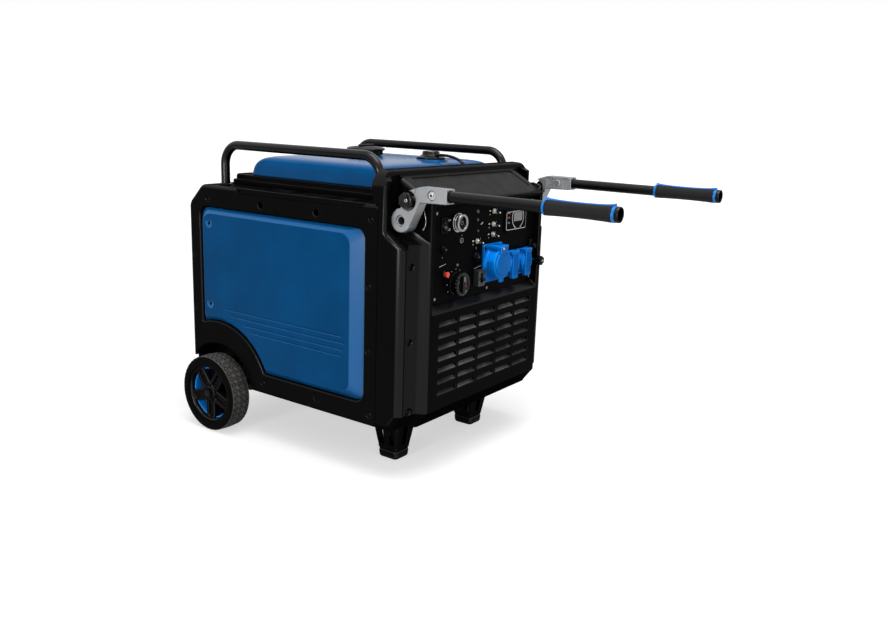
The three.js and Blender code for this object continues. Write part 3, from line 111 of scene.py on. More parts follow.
def surface(points, wrap_rows=False):
    """Rows of points (rows, columns, 3) joined by quads; open ends get flat caps."""
    rows, columns, _ = points.shape
    i, j = np.meshgrid(
        np.arange(rows if wrap_rows else rows - 1), np.arange(columns), indexing="ij")
    below, beside = (i + 1) % rows, (j + 1) % columns
    corners = [i * columns + j, i * columns + beside, below * columns + beside, below * columns + j]
    faces = np.stack(corners, -1).reshape(-1, 4).tolist()
    if not wrap_rows:
        faces += [list(range(columns))[::-1], list(range((rows - 1) * columns, rows * columns))]
    mesh = bpy.data.meshes.new("part")
    mesh.from_pydata(points.reshape(-1, 3).tolist(), [], faces)
    return link(reworked(mesh, close_seams))


print("grids are drawn in steps of", MM, "m")

# %% [markdown]
# ## Outlines
#
# A moulded part is drawn as a maker draws it: straight edges whose corners carry a radius. Each
# corner becomes an arc that touches both edges. Lists with the same radii give outlines with the
# same number of points, so one outline can be joined to another that is larger or further back.

# %% Rounded outlines
def rounded(corners, steps=6, closed=True):
    """Outline through [a, b, radius]: the arc's centre lies on the corner's bisector, at
    radius / sin(half angle) from the corner, and the arc starts radius / tan(half angle) away."""
    out = []
    for k, (a, b, radius) in enumerate(corners):
        here = np.array([a, b], float)
        if radius <= 0 or not closed and k in (0, len(corners) - 1):
            out.append(here[None])
            continue
        before = np.array(corners[k - 1][:2], float) - here
        after = np.array(corners[(k + 1) % len(corners)][:2], float) - here
        lengths = np.linalg.norm(before), np.linalg.norm(after)
        u, v = before / lengths[0], after / lengths[1]
        half = math.acos(float(np.clip(u @ v, -1, 1))) / 2
        run = min(radius / math.tan(half), 0.7 * min(lengths))
        centre = here + (u + v) / np.linalg.norm(u + v) * run / math.cos(half)
        start, end = here + u * run - centre, here + v * run - centre
        sweep = math.pi - 2 * half
        t = np.linspace(0, 1, steps + 1)[:, None]
        arc = np.sin((1 - t) * sweep) * start + np.sin(t * sweep) * end
        out.append(centre + arc / math.sin(sweep))
    return np.concatenate(out)


def rectangle(a0, a1, b0, b1, radius, steps=6):
    return rounded([(a0, b0, radius), (a1, b0, radius), (a1, b1, radius), (a0, b1, radius)], steps)


def directions(angle):
    """Points (cos angle, sin angle), one in each row."""
    return np.column_stack([np.cos(angle), np.sin(angle)])


def circle(radius, count=24):
    return radius * directions(np.linspace(0, 2 * math.pi, count, endpoint=False))


# Order of the columns [a, b, along] as x, y, z when along runs on each axis.
ORDER = {"X": (2, 0, 1), "Y": (0, 2, 1), "Z": (0, 1, 2)}


def ring(outline, axis, place):
    """An outline [a, b] in the plane square to an axis: (y, z), (x, z) or (x, y)."""
    flat = np.column_stack([outline, np.full(len(outline), float(place))])
    return flat[:, ORDER[axis]] * MM


def stack(axis, levels, side=1):
    """Body through outlines [outline, place along the axis], all with as many points. A side of
    -1 turns the places over, to the left half of the machine."""
    return surface(np.stack([ring(outline, axis, side * place) for outline, place in levels]))


def slab(axis, outline, start, end, side=1):
    return stack(axis, [(outline, start), (outline, end)], side)


print("a rounded square has", len(rectangle(0, 10, 0, 10, 2)), "points")

# %% [markdown]
# ## Turned pieces and bent tubes
#
# Knobs, tyres and caps are a profile turned about an axis. Tubes are a section carried along a
# path, always square to it.

# %% Lathe and sweep
def lathe(profile, axis, centre, count=48, closed=False, base=0.0, side=1):
    """Profile [radius, along] turned about an axis through centre: a point stands at
    radius * (cos angle, sin angle) round the axis and at side * (base + along) on it. Unless it is
    closed on itself, the profile is led to the axis at both ends."""
    if not closed:
        first, last = profile[0], profile[-1]
        start = [(0, first[1])] if first[0] else []
        end = [(0, last[1])] if last[0] else []
        profile = start + list(profile) + end
    profile = np.asarray(profile, float)
    turn = circle(1, count)
    a, b = profile[:, :1] * turn[:, 0], profile[:, :1] * turn[:, 1]
    along = np.broadcast_to(side * (base + profile[:, 1:]), a.shape)
    points = np.stack([a, b, along], -1)[..., ORDER[axis]] + np.asarray(centre, float)
    return surface(points * MM, closed)


def swept(path, section):
    """Section [across, up] carried along a path. Across is square to the path and to the normal
    of the plane in which the path mostly bends."""
    path = np.asarray(path, float)
    forward = np.gradient(path, axis=0)
    forward /= np.linalg.norm(forward, axis=1)[:, None]
    normal = np.linalg.svd(path - path.mean(0))[2][2]
    across = np.cross(forward, normal)
    across /= np.linalg.norm(across, axis=1)[:, None]
    up = np.cross(across, forward)
    offset = section[:, 0, None] * across[:, None] + section[:, 1, None] * up[:, None]
    return surface((path[:, None] + offset) * MM)


print("a section of a tube has", len(circle(10.5, 28)), "points")

# %% [markdown]
# ## Cutting, softening and joining
#
# Holes and louvres are cut from a finished body, as a tool would cut them. Every finished piece is
# then dressed: it gets its name, its finish, its shading and the body it rides on.

# %% Cutting tools
def settle(piece):
    """Applies the piece's modifiers to its mesh."""
    evaluated = piece.evaluated_get(bpy.context.evaluated_depsgraph_get())
    mesh = bpy.data.meshes.new_from_object(evaluated)
    piece.modifiers.clear()
    piece.data = mesh
    return piece


def combine(piece, others, operation):
    for other in others:
        boolean = piece.modifiers.new("cut", "BOOLEAN")
        boolean.operation = operation
        boolean.object = other
        boolean.solver = "EXACT"
    settle(piece)
    for other in others:
        bpy.data.objects.remove(other)
    return piece


def carve(piece, *cutters):
    return combine(piece, cutters, "DIFFERENCE")


def weld(piece, *others):
    return combine(piece, others, "UNION")


def joined(*pieces):
    """One object that holds several closed shells."""
    work = bmesh.new()
    for piece in pieces:
        work.from_mesh(piece.data)
        bpy.data.objects.remove(piece)
    mesh = bpy.data.meshes.new("part")
    work.to_mesh(mesh)
    work.free()
    return link(mesh)


def refined(node, width):
    """A copy of a CAD node with its loose triangles merged and its sharp edges rounded."""
    def merge(work):
        bmesh.ops.dissolve_limit(
            work, angle_limit=math.radians(1), verts=work.verts, edges=work.edges)

    piece = link(reworked(reworked(frame["nodes"][node].data.copy(), close_seams), merge))
    bevel = piece.modifiers.new("soft", "BEVEL")
    bevel.width = width * MM
    bevel.segments = 2
    bevel.limit_method = "ANGLE"
    bevel.angle_limit = math.radians(32)
    bevel.miter_outer = "MITER_ARC"
    return settle(piece)


def dress(name, piece, look, body, slot=None, *nodes, smooth=35):
    """Names a piece and gives it its finish, its shading (edges sharper than smooth degrees stay
    sharp) and the body it rides on, and hides the nodes it stands for. The slot is not used."""
    piece.name = name
    piece.data.materials.clear()
    piece.data.materials.append(look)
    piece.data.polygons.foreach_set("material_index", [0] * len(piece.data.polygons))
    piece.data.shade_smooth()
    piece.data.set_sharp_from_angle(angle=math.radians(smooth))
    even = piece.modifiers.new("even", "WEIGHTED_NORMAL")
    even.keep_sharp = True
    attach(piece, body)
    if nodes:
        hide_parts(*nodes)
    return piece


print("cutting, joining and dressing are ready")

# %% [markdown]
# ## Shader arithmetic
#
# A finish is written as a formula. `Signal` stands for a number that varies over the surface, and
# adding or multiplying signals adds the matching Math nodes. Every other node is made by
# `Finish.node`.

# %% Signals and finishes
class Signal:
    def __init__(self, finish, socket):
        self.finish = finish
        self.socket = socket

    def math(self, operation, first, second=0.0):
        return self.finish.node("ShaderNodeMath", {"operation": operation}, {0: first, 1: second})

    def __add__(self, other):
        return self.math("ADD", self, other)

    def __sub__(self, other):
        return self.math("SUBTRACT", self, other)

    def __rsub__(self, other):
        return self.math("SUBTRACT", other, self)

    def __mul__(self, other):
        return self.math("MULTIPLY", self, other)

    __radd__ = __add__
    __rmul__ = __mul__

    def size(self):
        return self.math("ABSOLUTE", self)

    def largest(self, other):
        return self.math("MAXIMUM", self, other)

    def between(self, low, high):
        """0 below low, 1 above high, and a smooth step between them."""
        sockets = {"Value": self, "From Min": low, "From Max": high}
        return self.finish.node("ShaderNodeMapRange", {"interpolation_type": "SMOOTHSTEP"}, sockets)


class Finish:
    """The shader nodes of a material or of the world, ending in one output."""

    def __init__(self, owner, output="ShaderNodeOutputMaterial"):
        owner.use_nodes = True
        self.owner = owner
        self.output = output
        self.tree = owner.node_tree
        self.tree.nodes.clear()
        self.place = self.node("ShaderNodeTexCoord", {}, {}, "Object")

    def node(self, kind, settings, sockets, output=0):
        """Adds a node and returns one of its outputs. A colour is written as three numbers."""
        made = self.tree.nodes.new(kind)
        for key, value in settings.items():
            setattr(made, key, value)
        for key, value in sockets.items():
            socket = made.inputs[key]
            if isinstance(value, Signal):
                self.tree.links.new(value.socket, socket)
            else:
                socket.default_value = (*value, 1.0) if socket.type == "RGBA" else value
        return None if output is None else Signal(self, made.outputs[output])

    def noise(self, scale, detail=2.0, roughness=0.5):
        sockets = {"Vector": self.place, "Scale": scale, "Detail": detail, "Roughness": roughness}
        return self.node("ShaderNodeTexNoise", {}, sockets)

    def blend(self, amount, first, second):
        """A colour between two colours."""
        sockets = {0: amount, 6: first, 7: second}
        return self.node("ShaderNodeMix", {"data_type": "RGBA"}, sockets, 2)

    def parts(self, vector):
        """The x, y and z of a vector as three signals."""
        return [self.node("ShaderNodeSeparateXYZ", {}, {0: vector}, k) for k in range(3)]

    def bump(self, height, strength, distance):
        sockets = {"Height": height, "Strength": strength, "Distance": distance}
        return self.node("ShaderNodeBump", {}, sockets)

    def end(self, surface):
        self.node(self.output, {}, {"Surface": surface}, None)
        return self.owner

    def shade(self, **sockets):
        """Principled shader with the given sockets, as the material's surface."""
        names = {key.replace("_", " "): value for key, value in sockets.items()}
        return self.end(self.node("ShaderNodeBsdfPrincipled", {}, names))


def finish(name):
    return Finish(bpy.data.materials.new(name))


def lighter(tint, amount):
    return tuple(min(1.0, c * (1 + amount)) for c in tint)


print("a tint made lighter:", lighter((0.2, 0.4, 0.8), 0.5))

# %% [markdown]
# ## Finishes
#
# The casing is moulded plastic with a fine satin grain, so its highlights are broad and a little
# cloudy. The fine grain is a bump of less than half a millimetre, the clouds are a slow change of
# roughness. Handled machines also gather a little pale dust, mostly on faces that look upward.

# %% Moulded plastic
def moulded(name, tint, roughness, grain=0.12, specular=0.3, dust=0.0, polish_and_painted_highlight=0.0, sheen=0.0):
    """Tint with slow clouds; roughness = base + 0.12 * (clouds - 0.5); dust on upward faces;
    a thin coat, thickest where the face is slanted, which is where 1 - largest |part of the
    normal| is not 0, and gone where it looks down. On slanted faces that do not look down the
    tint is also made up to twice as light: a painted highlight."""
    look = finish(name)
    clouds = look.noise(9.0, 4.0)
    grains = look.noise(1500.0, 1.0)
    tone = look.blend(clouds.between(0.3, 0.75), tint, lighter(tint, 0.25))
    across, along, up = look.parts(look.node("ShaderNodeNewGeometry", {}, {}, "Normal"))
    coat = {}
    if polish_and_painted_highlight:
        slant = 1 - across.size().largest(along.size()).largest(up.size())
        slant = slant.between(0.008, 0.045)
        lit = (up + 0.3).between(0.0, 0.22)
        # Painted highlight: slanted faces that do not look down get a tint up to twice as light.
        tone = look.blend(slant * lit, tone, lighter(tint, 1.0))
        coat = {"Coat_Weight": lit * (slant * polish_and_painted_highlight + sheen), "Coat_Roughness": 0.22}
    if dust:
        patches = look.noise(26.0, 6.0, roughness=0.65).between(0.42, 0.72)
        tone = look.blend(up.between(0.55, 1.0) * patches * dust, tone, (0.16, 0.15, 0.13))
    return look.shade(
        Base_Color=tone, Roughness=clouds * 0.12 + (roughness - 0.06),
        Specular_IOR_Level=specular, Normal=look.bump(grains, grain, 0.0004), **coat)


casing_look = moulded(
    "satin_black_casing", (0.0021, 0.0021, 0.0022), 0.34, 0.12, 0.0, 0.06, 0.22, 0.035)
trim_look = moulded("satin_black_trim", (0.0021, 0.0021, 0.0021), 0.34, 0.12, 0.02, 0.0, 0.4)
panel_blue_look = moulded("satin_blue_panel", (0.0003, 0.043, 0.13), 0.3, 0.05, 0.03, 0.0, 0.5)
tank_look = moulded("gloss_blue_tank", (0.0004, 0.058, 0.18), 0.2, 0.015, 0.06, 0.03)
blue_trim_look = moulded("gloss_blue_trim", (0.002, 0.14, 0.47), 0.3, 0.03, 0.25)
# The barrel lining is tinted much lighter than the blue trim, to make up for the shade inside the
# rim: painted light.
barrel_look = moulded("blue_barrel_painted_light", (0.006, 0.24, 0.80), 0.3, 0.03, 0.2)
socket_look = moulded("gloss_blue_socket", (0.0004, 0.125, 0.45), 0.3, 0.02, 0.03, 0.0, 0.16)
rubber_look = moulded("matt_rubber", (0.0095, 0.0098, 0.0105), 0.58, 0.25, 0.1)
fascia_look = moulded("satin_fascia", (0.0024, 0.0024, 0.0025), 0.32, 0.04, 0.005, 0.0, 0.2)
knob_look = moulded("gloss_black_knob", (0.003, 0.003, 0.0032), 0.2, 0.02, 0.2)
red_look = moulded("gloss_red_button", (0.72, 0.045, 0.02), 0.3, 0.0, 0.5)
black_steel_look = moulded("black_powder_coat", (0.0028, 0.0028, 0.0029), 0.34, 0.1, 0.05)
tube_look = moulded("gloss_black_tube", (0.0018, 0.0018, 0.0019), 0.18, 0.02, 0.08, 0.0, 0.35)
white_look = moulded("white_print", (0.62, 0.62, 0.62), 0.5, 0.0)
grey_print = moulded("grey_print", (0.20, 0.20, 0.20), 0.5, 0.0)
lamp_look = moulded("smoked_lens", (0.035, 0.036, 0.036), 0.12, 0.0, 0.6)
grey_look = moulded("grey_switch_body", (0.022, 0.023, 0.024), 0.36, 0.04)
print("moulded finishes ready")

# %% [markdown]
# ## Metals
#
# The handle brackets are die-cast and blasted, so their surface is an even grey with a fine bump.
# Plated screws and rings are smooth and take their look from what they mirror.

# %% Metal
def metal(name, tint, roughness, grain=0.0, grain_scale=900.0):
    """Metal whose roughness drifts by 0.1 in clouds, with a grain of the given bump."""
    look = finish(name)
    clouds = look.noise(30.0, 5.0)
    bump = {}
    if grain:
        bump = {"Normal": look.bump(look.noise(grain_scale, 3.0), grain, 0.0006)}
    return look.shade(
        Base_Color=look.blend(clouds.between(0.25, 0.8), tint, lighter(tint, 0.18)),
        Metallic=1.0, Roughness=clouds * 0.10 + (roughness - 0.05), **bump)


cast_look = metal("blasted_cast_aluminium", (0.225, 0.232, 0.24), 0.52, 0.25)
steel_look = metal("zinc_plated_steel", (0.42, 0.43, 0.44), 0.32)
chrome_look = metal("chromed_ring", (0.62, 0.62, 0.63), 0.12)
ring_look = metal("satin_dark_chrome", (0.22, 0.22, 0.22), 0.26)
nickel_look = metal("nickel_plated_brass", (0.40, 0.38, 0.32), 0.28)
brass_look = metal("brass_screw", (0.66, 0.45, 0.17), 0.3)
engine_look = metal("die_cast_engine", (0.27, 0.27, 0.28), 0.5, 0.35, 500.0)
muffler_look = metal("sooty_muffler", (0.16, 0.15, 0.14), 0.55, 0.2)
print("metals ready")

# %% [markdown]
# ## First look at every piece
#
# Every CAD node gets the finish of its material slot, apart from the muffler, which is sooty.
# Pieces made later replace some of them.

# %% Finishes for the CAD nodes
SLOT_LOOK = {
    "casing": casing_look, "side_panel": panel_blue_look, "tank": tank_look,
    "chassis": black_steel_look, "tube_paint": tube_look, "trim": trim_look, "panel": fascia_look,
    "rubber": rubber_look, "tyre": rubber_look, "blue_trim": blue_trim_look,
    "socket_blue": socket_look, "cast_aluminium": cast_look, "steel": steel_look,
    "chrome": chrome_look, "nickel": nickel_look, "engine": engine_look,
    "red_button": red_look, "display": fascia_look}
slot_of = {part["node"]: part["material_slot"] for part in frame["record"]["subparts"]}
for node, slot in slot_of.items():
    for socket in frame["nodes"][node].material_slots:
        socket.material = muffler_look if node == "muffler" else SLOT_LOOK[slot]
print("nodes with a finish:", len(slot_of))

# %% [markdown]
# ## Camera
#
# The camera stands in front and to the left, a little above the machine. It is aimed by three
# angles: how far it looks down, where it heads and how far it rolls.

# %% Camera
camera = bpy.data.objects.new("camera", bpy.data.cameras.new("camera"))
bpy.context.collection.objects.link(camera)
camera.data.lens = 35.52
camera.data.sensor_width = 36.0
down, heading, roll = (math.radians(angle) for angle in (13.17, -54.59, 1.95))
aim = Euler((math.pi / 2 - down, 0, heading)).to_matrix() @ Matrix.Rotation(roll, 3, "Z")
camera.matrix_world = Matrix.Translation((-1.62507, -1.17738, 0.78404)) @ aim.to_4x4()
bpy.context.scene.camera = camera
bpy.context.scene.view_settings.view_transform = "Standard"
print("camera", round(camera.location[2] * 1000), "mm above the floor")

# %% [markdown]
# ## Studio
#
# The machine stands on a pale floor with soft light from above. The floor and the world are white
# for the camera, while the floor still takes the shadow.

# %% Floor, world and lamps
def looked_at(look):
    """1 for rays from the camera, or on their way to it by way of metal, gloss or glass."""
    rays = [look.node("ShaderNodeLightPath", {}, {}, f"Is {kind} Ray")
            for kind in ("Camera", "Glossy", "Transmission")]
    return (rays[0] + rays[1] + rays[2]).between(0, 1)


WHITE = (1, 1, 1)
reach = 30.0
floor_mesh = bpy.data.meshes.new("floor")
floor_mesh.from_pydata([(x, y, 0) for x, y in (
    (-reach, -reach), (reach, -reach), (reach, reach), (-reach, reach))], [], [(0, 1, 2, 3)])
floor = link(floor_mesh)
floor.name = "floor"
look = finish("white_floor")
far_off = look.node("ShaderNodeVectorMath", {"operation": "LENGTH"}, {0: look.place}, "Value")
strength = looked_at(look) * (far_off.between(1.2, 5.0) * 0.42 + 0.55)
paint = look.node("ShaderNodeBsdfDiffuse", {}, {"Color": (0.55, 0.55, 0.55)})
glow = look.node("ShaderNodeEmission", {}, {"Color": WHITE, "Strength": strength})
floor_mesh.materials.append(look.end(look.node("ShaderNodeAddShader", {}, {0: paint, 1: glow})))
floor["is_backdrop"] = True

world = bpy.data.worlds.new("studio")
bpy.context.scene.world = world
sky = Finish(world, "ShaderNodeOutputWorld")
seen = looked_at(sky)
height = sky.parts(sky.node("ShaderNodeTexCoord", {}, {}, "Generated"))[2]
level = seen + (1 - seen) * (height.between(-0.1, 0.9) * 0.4 + 0.15)
sky.end(sky.node("ShaderNodeBackground", {}, {"Color": WHITE, "Strength": level}))


def lamp(name, place, target, size, power):
    """A rectangular soft lamp at a place, turned to a target."""
    light = bpy.data.lights.new(name, "AREA")
    light.shape = "RECTANGLE"
    light.size, light.size_y = size
    light.energy = power
    holder = bpy.data.objects.new(name, light)
    bpy.context.collection.objects.link(holder)
    holder.location = place
    way = Vector(target) - Vector(place)
    holder.rotation_euler = way.to_track_quat("-Z", "Y").to_euler()


lamp("overhead", (-0.3, -0.5, 3.3), (0.0, 0.1, 0.4), (2.6, 2.2), 90)
lamp("front_softbox", (-1.3, -3.1, 1.9), (0.0, 0.0, 0.4), (1.2, 1.2), 17)
lamp("side_softbox", (-3.5, -0.1, 0.8), (0.0, 0.2, 0.4), (0.6, 1.2), 55)
print("camera and studio ready")

# %% [markdown]
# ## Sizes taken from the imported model
#
# Places are read from the boxes of the CAD nodes, in millimetres, so a new piece sits exactly where
# the solid it stands for sits.

# %% Sizes
def low(node):
    return np.array(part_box(node)[0]) / MM


def high(node):
    return np.array(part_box(node)[1]) / MM


def middle(node):
    return (low(node) + high(node)) / 2


inner_x, front_y, base_z = low("side_frame_right")
side_x, rear_y, top_z = high("side_frame_right")
wheel_y, wheel_z = middle("tyre_right")[1:]
arch_radius = wheel_z + 22
SIDES = (("left", -1), ("right", 1))
print("frame from", round(front_y), "to", round(rear_y), "mm, wheel at", wheel_y, wheel_z)

# %% [markdown]
# ## Side frames
#
# Each side of the casing is one black moulding: a thick picture frame round the blue panel, with a
# wheel arch, a cut rear corner and a rounded outer edge. It could be modelled from a box with
# loop cuts. Here the block is a stack of outlines whose last ones shrink along a quarter circle,
# which gives a true radius, and the arch and the panel opening are cut by shapes that flare open
# in the same way, so their lips are rounded too.

# %% Side frame
# A quarter circle in steps: how far it has moved sideways, 1 - cos, and forward, sin.
QUARTER = [(1 - math.cos(t), math.sin(t)) for t in np.linspace(0, math.pi / 2, 6)]
# Fasteners round the frame: [y, z, radius].
PLUGS = [(471, 554, 6), (-29, 556, 6), (-24, 417, 6), (-24, 280, 6), (-29, 141, 6), (294, 142, 6),
         (524, 417, 5), (527, 286, 5)]


def frame_outline(inset):
    """Outline in (y, z) moved inward by inset, except at the joint with the front cowl."""
    front, rear = front_y + min(inset, 1.0), rear_y - inset
    bottom, top, cut = base_z + inset, top_z - inset, 46 - 0.586 * inset
    return rounded([(front, bottom, 3), (rear, bottom, 14), (rear, top - cut, 22),
                    (rear - cut, top, 22), (front, top, 3)])


def panel_outline(front, rest, corner):
    """Outline of the panel opening in (y, z), with the front edge moved inward by one amount and
    the rest by another. The arch is wheel centre + radius * (cos angle, sin angle)."""
    y0, y1 = -10.5 + front, rear_y - 40 - rest
    z0, z1 = base_z + 50 + rest, top_z - 53 - rest
    radius = arch_radius + 59 + rest
    start = math.acos((y1 - wheel_y) / radius)
    end = math.pi - math.asin((z0 - wheel_z) / radius)
    bow = (wheel_y, wheel_z) + radius * directions(np.linspace(start, end, 40))
    bend = max(corner, 3)
    ends = (0, len(bow) - 1)
    points = [(y0, z0, bend), (y0, z1, bend), (y1, z1, bend)]
    return rounded(points + [(a, b, bend * 0.6 * (k in ends)) for k, (a, b) in enumerate(bow)])


def even(amount):
    return panel_outline(amount, amount, 22.0 - amount)


def flared(side, shape, floor, lip):
    """Cutter along X: straight from the floor up to the lip, then opening by
    lip * (1 - cos angle) while it rises by lip * sin angle."""
    levels = [(shape(lip * a), side_x - lip + lip * b) for a, b in QUARTER]
    return stack("X", [(shape(0.0), floor)] + levels + [(shape(lip), side_x + 8)], side)


def round_at(y, z, radius, count=32):
    return lambda grow: circle(radius + grow, count) + (y, z)


def side_frame(side, soft=9.0):
    levels = [(frame_outline(1.5), inner_x), (frame_outline(0), inner_x + 1.5)]
    levels += [(frame_outline(soft * a), side_x - soft + soft * b) for a, b in QUARTER]
    body = stack("X", levels, side)
    tip_z = wheel_z + math.sqrt(arch_radius ** 2 - (rear_y - 3.5 - wheel_y) ** 2)
    tip = rounded([(rear_y - 30, base_z - 9, 0), (rear_y - 30, tip_z, 0),
                   (rear_y - 4.5, tip_z + 0.5, 5), (rear_y + 1, tip_z + 9, 4),
                   (rear_y + 9, tip_z + 12, 0), (rear_y + 9, base_z - 9, 0)], 5)
    carve(body, flared(side, round_at(wheel_y, wheel_z, arch_radius, 96), inner_x - 5, 7),
          flared(side, lambda grow: even(-0.4 - grow), side_x - 13, 4.5))
    carve(body, slab("X", tip, inner_x - 5, side_x + 5, side))
    bow = directions(np.linspace(math.radians(8), math.radians(172), 40))
    liner = np.concatenate([bow * (arch_radius + 1), bow[::-1] * 60]) + (wheel_y, wheel_z)
    liner[:, 0] = np.minimum(liner[:, 0], rear_y - 9)
    flap = rectangle(rear_y - 11, rear_y - 7, tip_z - 9, tip_z + 20, 1.5)
    cuts = [flared(side, round_at(*plug), side_x - 2.5, 1.5) for plug in PLUGS]
    cuts += [flared(side, round_at(y, 554, 7.5), side_x - 16, 2.0) for y in (294, 124)]
    cuts.append(flared(side, round_at(121, 147, 11, 40), side_x - 1.2, 1.0))
    shelf = rounded([
        (0, top_z - 13, 3), (366, top_z - 13, 8), (384, top_z + 9, 3), (-24, top_z + 9, 3)])
    carve(body, *cuts, slab("X", shelf, side_x - 5, side_x + 8, side))
    caps = [lathe([(4.6, -3), (4.6, -1.6), (3.6, -1.0)], "X", (0, y, z), 24, base=side_x, side=side)
            for y, z, _ in PLUGS]
    return joined(body, slab("X", liner, inner_x + 1, inner_x + 4, side),
                  slab("X", flap, inner_x + 1, side_x - 9, side), *caps)


for name, side in SIDES:
    node = f"side_frame_{name}"
    moulding = dress(f"{node}_shape", side_frame(side), casing_look, "casing", "casing", node)
    print(moulding.name, len(moulding.data.polygons), "faces")

# %% [markdown]
# ## Blue side panels
#
# The panel is a separate blue moulding let into the frame. It stands out in the middle: a narrow
# slope runs round it, and a much wider one along its front edge, which catches the light. Low down
# four long grooves stiffen it, and two dimples near the rear edge hold its screws.

# %% Side panel
SCREWS = ((466, 498), (468, 305))
GROOVES = ((300, 48, 412), (286, 38, 394), (271, 42, 350), (257, 47, 328))


def side_panel(side):
    """Share 0 is the panel's edge, and 1 is where the slope meets the flat."""
    face = side_x + 3.5
    levels = [(even(0.3), side_x - 12.5), (even(0.3), side_x - 9.4)]
    levels += [(even(0.3 + 1.6 * a), side_x - 9.4 + 1.6 * b) for a, b in QUARTER[1:]]
    for share, level in ((0.05, 0.05), (0.3, 0.31), (0.6, 0.62), (0.9, 0.93), (0.96, 0.98),
                         (1.03, 1.0)):
        outline = panel_outline(0.3 + 38.0 * share, 0.3 + 13.0 * share, 22 + 4 * share)
        levels.append((outline, side_x - 8 + 11.5 * level))
    body = stack("X", levels, side)
    cuts = []
    for z, start, end in GROOVES:
        shape = rectangle(start, end, z - 1.7, z + 1.7, 1.6)
        wide = rectangle(start - 1, end + 1, z - 2.7, z + 2.7, 2.6)
        cuts.append(stack("X", [
            (shape, face - 1.6), (shape, face - 0.9), (wide, face + 0.2), (wide, face + 2)], side))
    for y, z in SCREWS:
        for profile, count in (
                ([(0, -2.4), (4, -2.3), (8, -1.5), (10.5, -0.4), (11.5, 0.1), (11.5, 3)], 40),
                ([(4.2, -6), (4.2, 3)], 32)):
            cuts.append(lathe(profile, "X", (0, y, z), count, base=face, side=side))
    return carve(body, *cuts)


for name, side in SIDES:
    node = f"side_panel_{name}"
    panel = side_panel(side)
    dress(f"{node}_body", panel, panel_blue_look, "casing", "side_panel", node, smooth=30)
    heads = [lathe([(3.7, -3), (3.7, -0.6), (3.1, 0), (1.5, 0), (1.5, -1.6)], "X", (0, y, z), 24,
                   base=side_x - 1.6, side=side) for y, z in SCREWS]
    dress(f"{node}_screws", joined(*heads), black_steel_look, "casing", "chassis")
    print(panel.name, len(panel.data.polygons), "faces")

# %% [markdown]
# ## Front cowl
#
# The front is one large moulding: a flat face with louvres and a sunk control panel, a slanted top,
# and on both sides a channel with a leaning floor that the handles fold into. The channel opens
# upward into a pocket for the handle bracket. The plan is the same at nearly every height: only
# near the lower edge does it lean back as a chin, at 45 degrees. So the cowl starts as a stack of
# plans along Z. The stack is then trimmed by its side outline and its front outline, as a block of
# foam is cut from three sides, and the pockets, the recess and the louvres are cut last.

# %% Cowl block
joint_y = front_y - 0.3
face_y, shoulder_y = low("front_cowl")[1], low("front_cowl")[1] + 24
cowl_high, cowl_back = high("front_cowl")[2] + 8, high("front_cowl")[1] + 8
brow_z = top_z + 8
slope = (cowl_high - brow_z) / (cowl_back - face_y)
pocket_y, pocket_z = joint_y - 17, top_z - 55
panel_y, floor_z, ceiling_z = face_y + 16, base_z + 262, base_z + 468


def cowl_plan(inset, channel, chin=0.0):
    """Plan in (x, y): side, rounded corner, lip, leaning floor of the channel, wall and face. The
    inset moves every edge inward, the channel is how far its floor lies behind the lip, and the
    chin is how far the whole front lies back."""
    back, inner = inset + chin, inset * 0.6
    lip = shoulder_y + 1.5 + back
    half = [
        (side_x - inset, joint_y, 0), (side_x - inset, shoulder_y + 12 + back, 32),
        (269.5 - inner, lip, 2.5), (265 - inner, lip + channel, 3),
        (231 - inner, shoulder_y - 4 + back, 5), (220.5 - inner, face_y + back, 6)]
    return rounded(half + [(-x, y, r) for x, y, r in half[::-1]])


def cowl_block(toe=6.0, chin=25.0, full=3.0):
    """Plans stacked along Z: the toe shrinks along a quarter circle, the chin leans back at 45
    degrees over 32 mm and ends in a soft bend, and the channel deepens over the chin."""
    levels = [(cowl_plan(toe * (1 - b), 0.5, chin), base_z + toe * a) for a, b in QUARTER]
    for share in np.linspace(0.1, 1, 12):
        deep = 0.5 + (full - 0.5) * share ** 2 * (3 - 2 * share)
        rest = 1 - share
        if share >= 0.85:
            rest = rest ** 2 / 0.3 + 0.075 * rest / 0.15
        levels.append((cowl_plan(0, deep, chin * rest), base_z + toe + 32 * share))
    return stack("Z", levels + [(cowl_plan(0, full), cowl_high + 5)])


overhang = rectangle(-side_x + 0.2, side_x - 0.2, joint_y - 8, cowl_back + 3, 1)
cowl = weld(cowl_block(), slab("Z", overhang, top_z + 1.4, cowl_high + 5))
deck_y, ridge_y = low("top_deck")[1] - 0.5, cowl_back - 27
side_view = rounded([
    (joint_y, base_z - 5, 0), (face_y - 2, base_z - 5, 0), (face_y - 0.01, brow_z - 1, 9),
    (ridge_y - 3, cowl_high - 30 * slope, 4), (ridge_y, cowl_high - 2, 5),
    (cowl_back, cowl_high + 0.5, 7), (cowl_back, top_z + 27, 1), (deck_y, top_z + 27, 1),
    (deck_y, top_z + 1.5, 0.5), (joint_y, top_z + 1.5, 0.5)])
front_view = [
    (rectangle(-side_x + 4 * a, side_x - 4 * a, base_z - 20, cowl_high + 0.2 - 4 * a, 42, 12),
     cowl_back - 4 + 4 * b) for a, b in QUARTER]
front_view.insert(0, (front_view[0][0], face_y - 20))
for trim in (slab("X", side_view, -300, 300), stack("Y", front_view)):
    combine(cowl, [trim], "INTERSECT")
print("cowl block", len(cowl.data.polygons), "faces, slope", round(slope, 2))

# %% [markdown]
# The pockets: a block open to the front, the side and the top is taken out of each upper corner.
# Its outline in side view is cut once more through the skin with a flare, which leaves the broad
# rounded lip. A narrow channel behind each pocket runs up to the rear ridge. The slanted top gets
# a shallow dish and a rounded brink beside it, cut by shapes tilted to its slope.

# %% Pockets, shoulder channels and top
def pocket_floor(y):
    return pocket_z - 0.44 * (pocket_y - y)


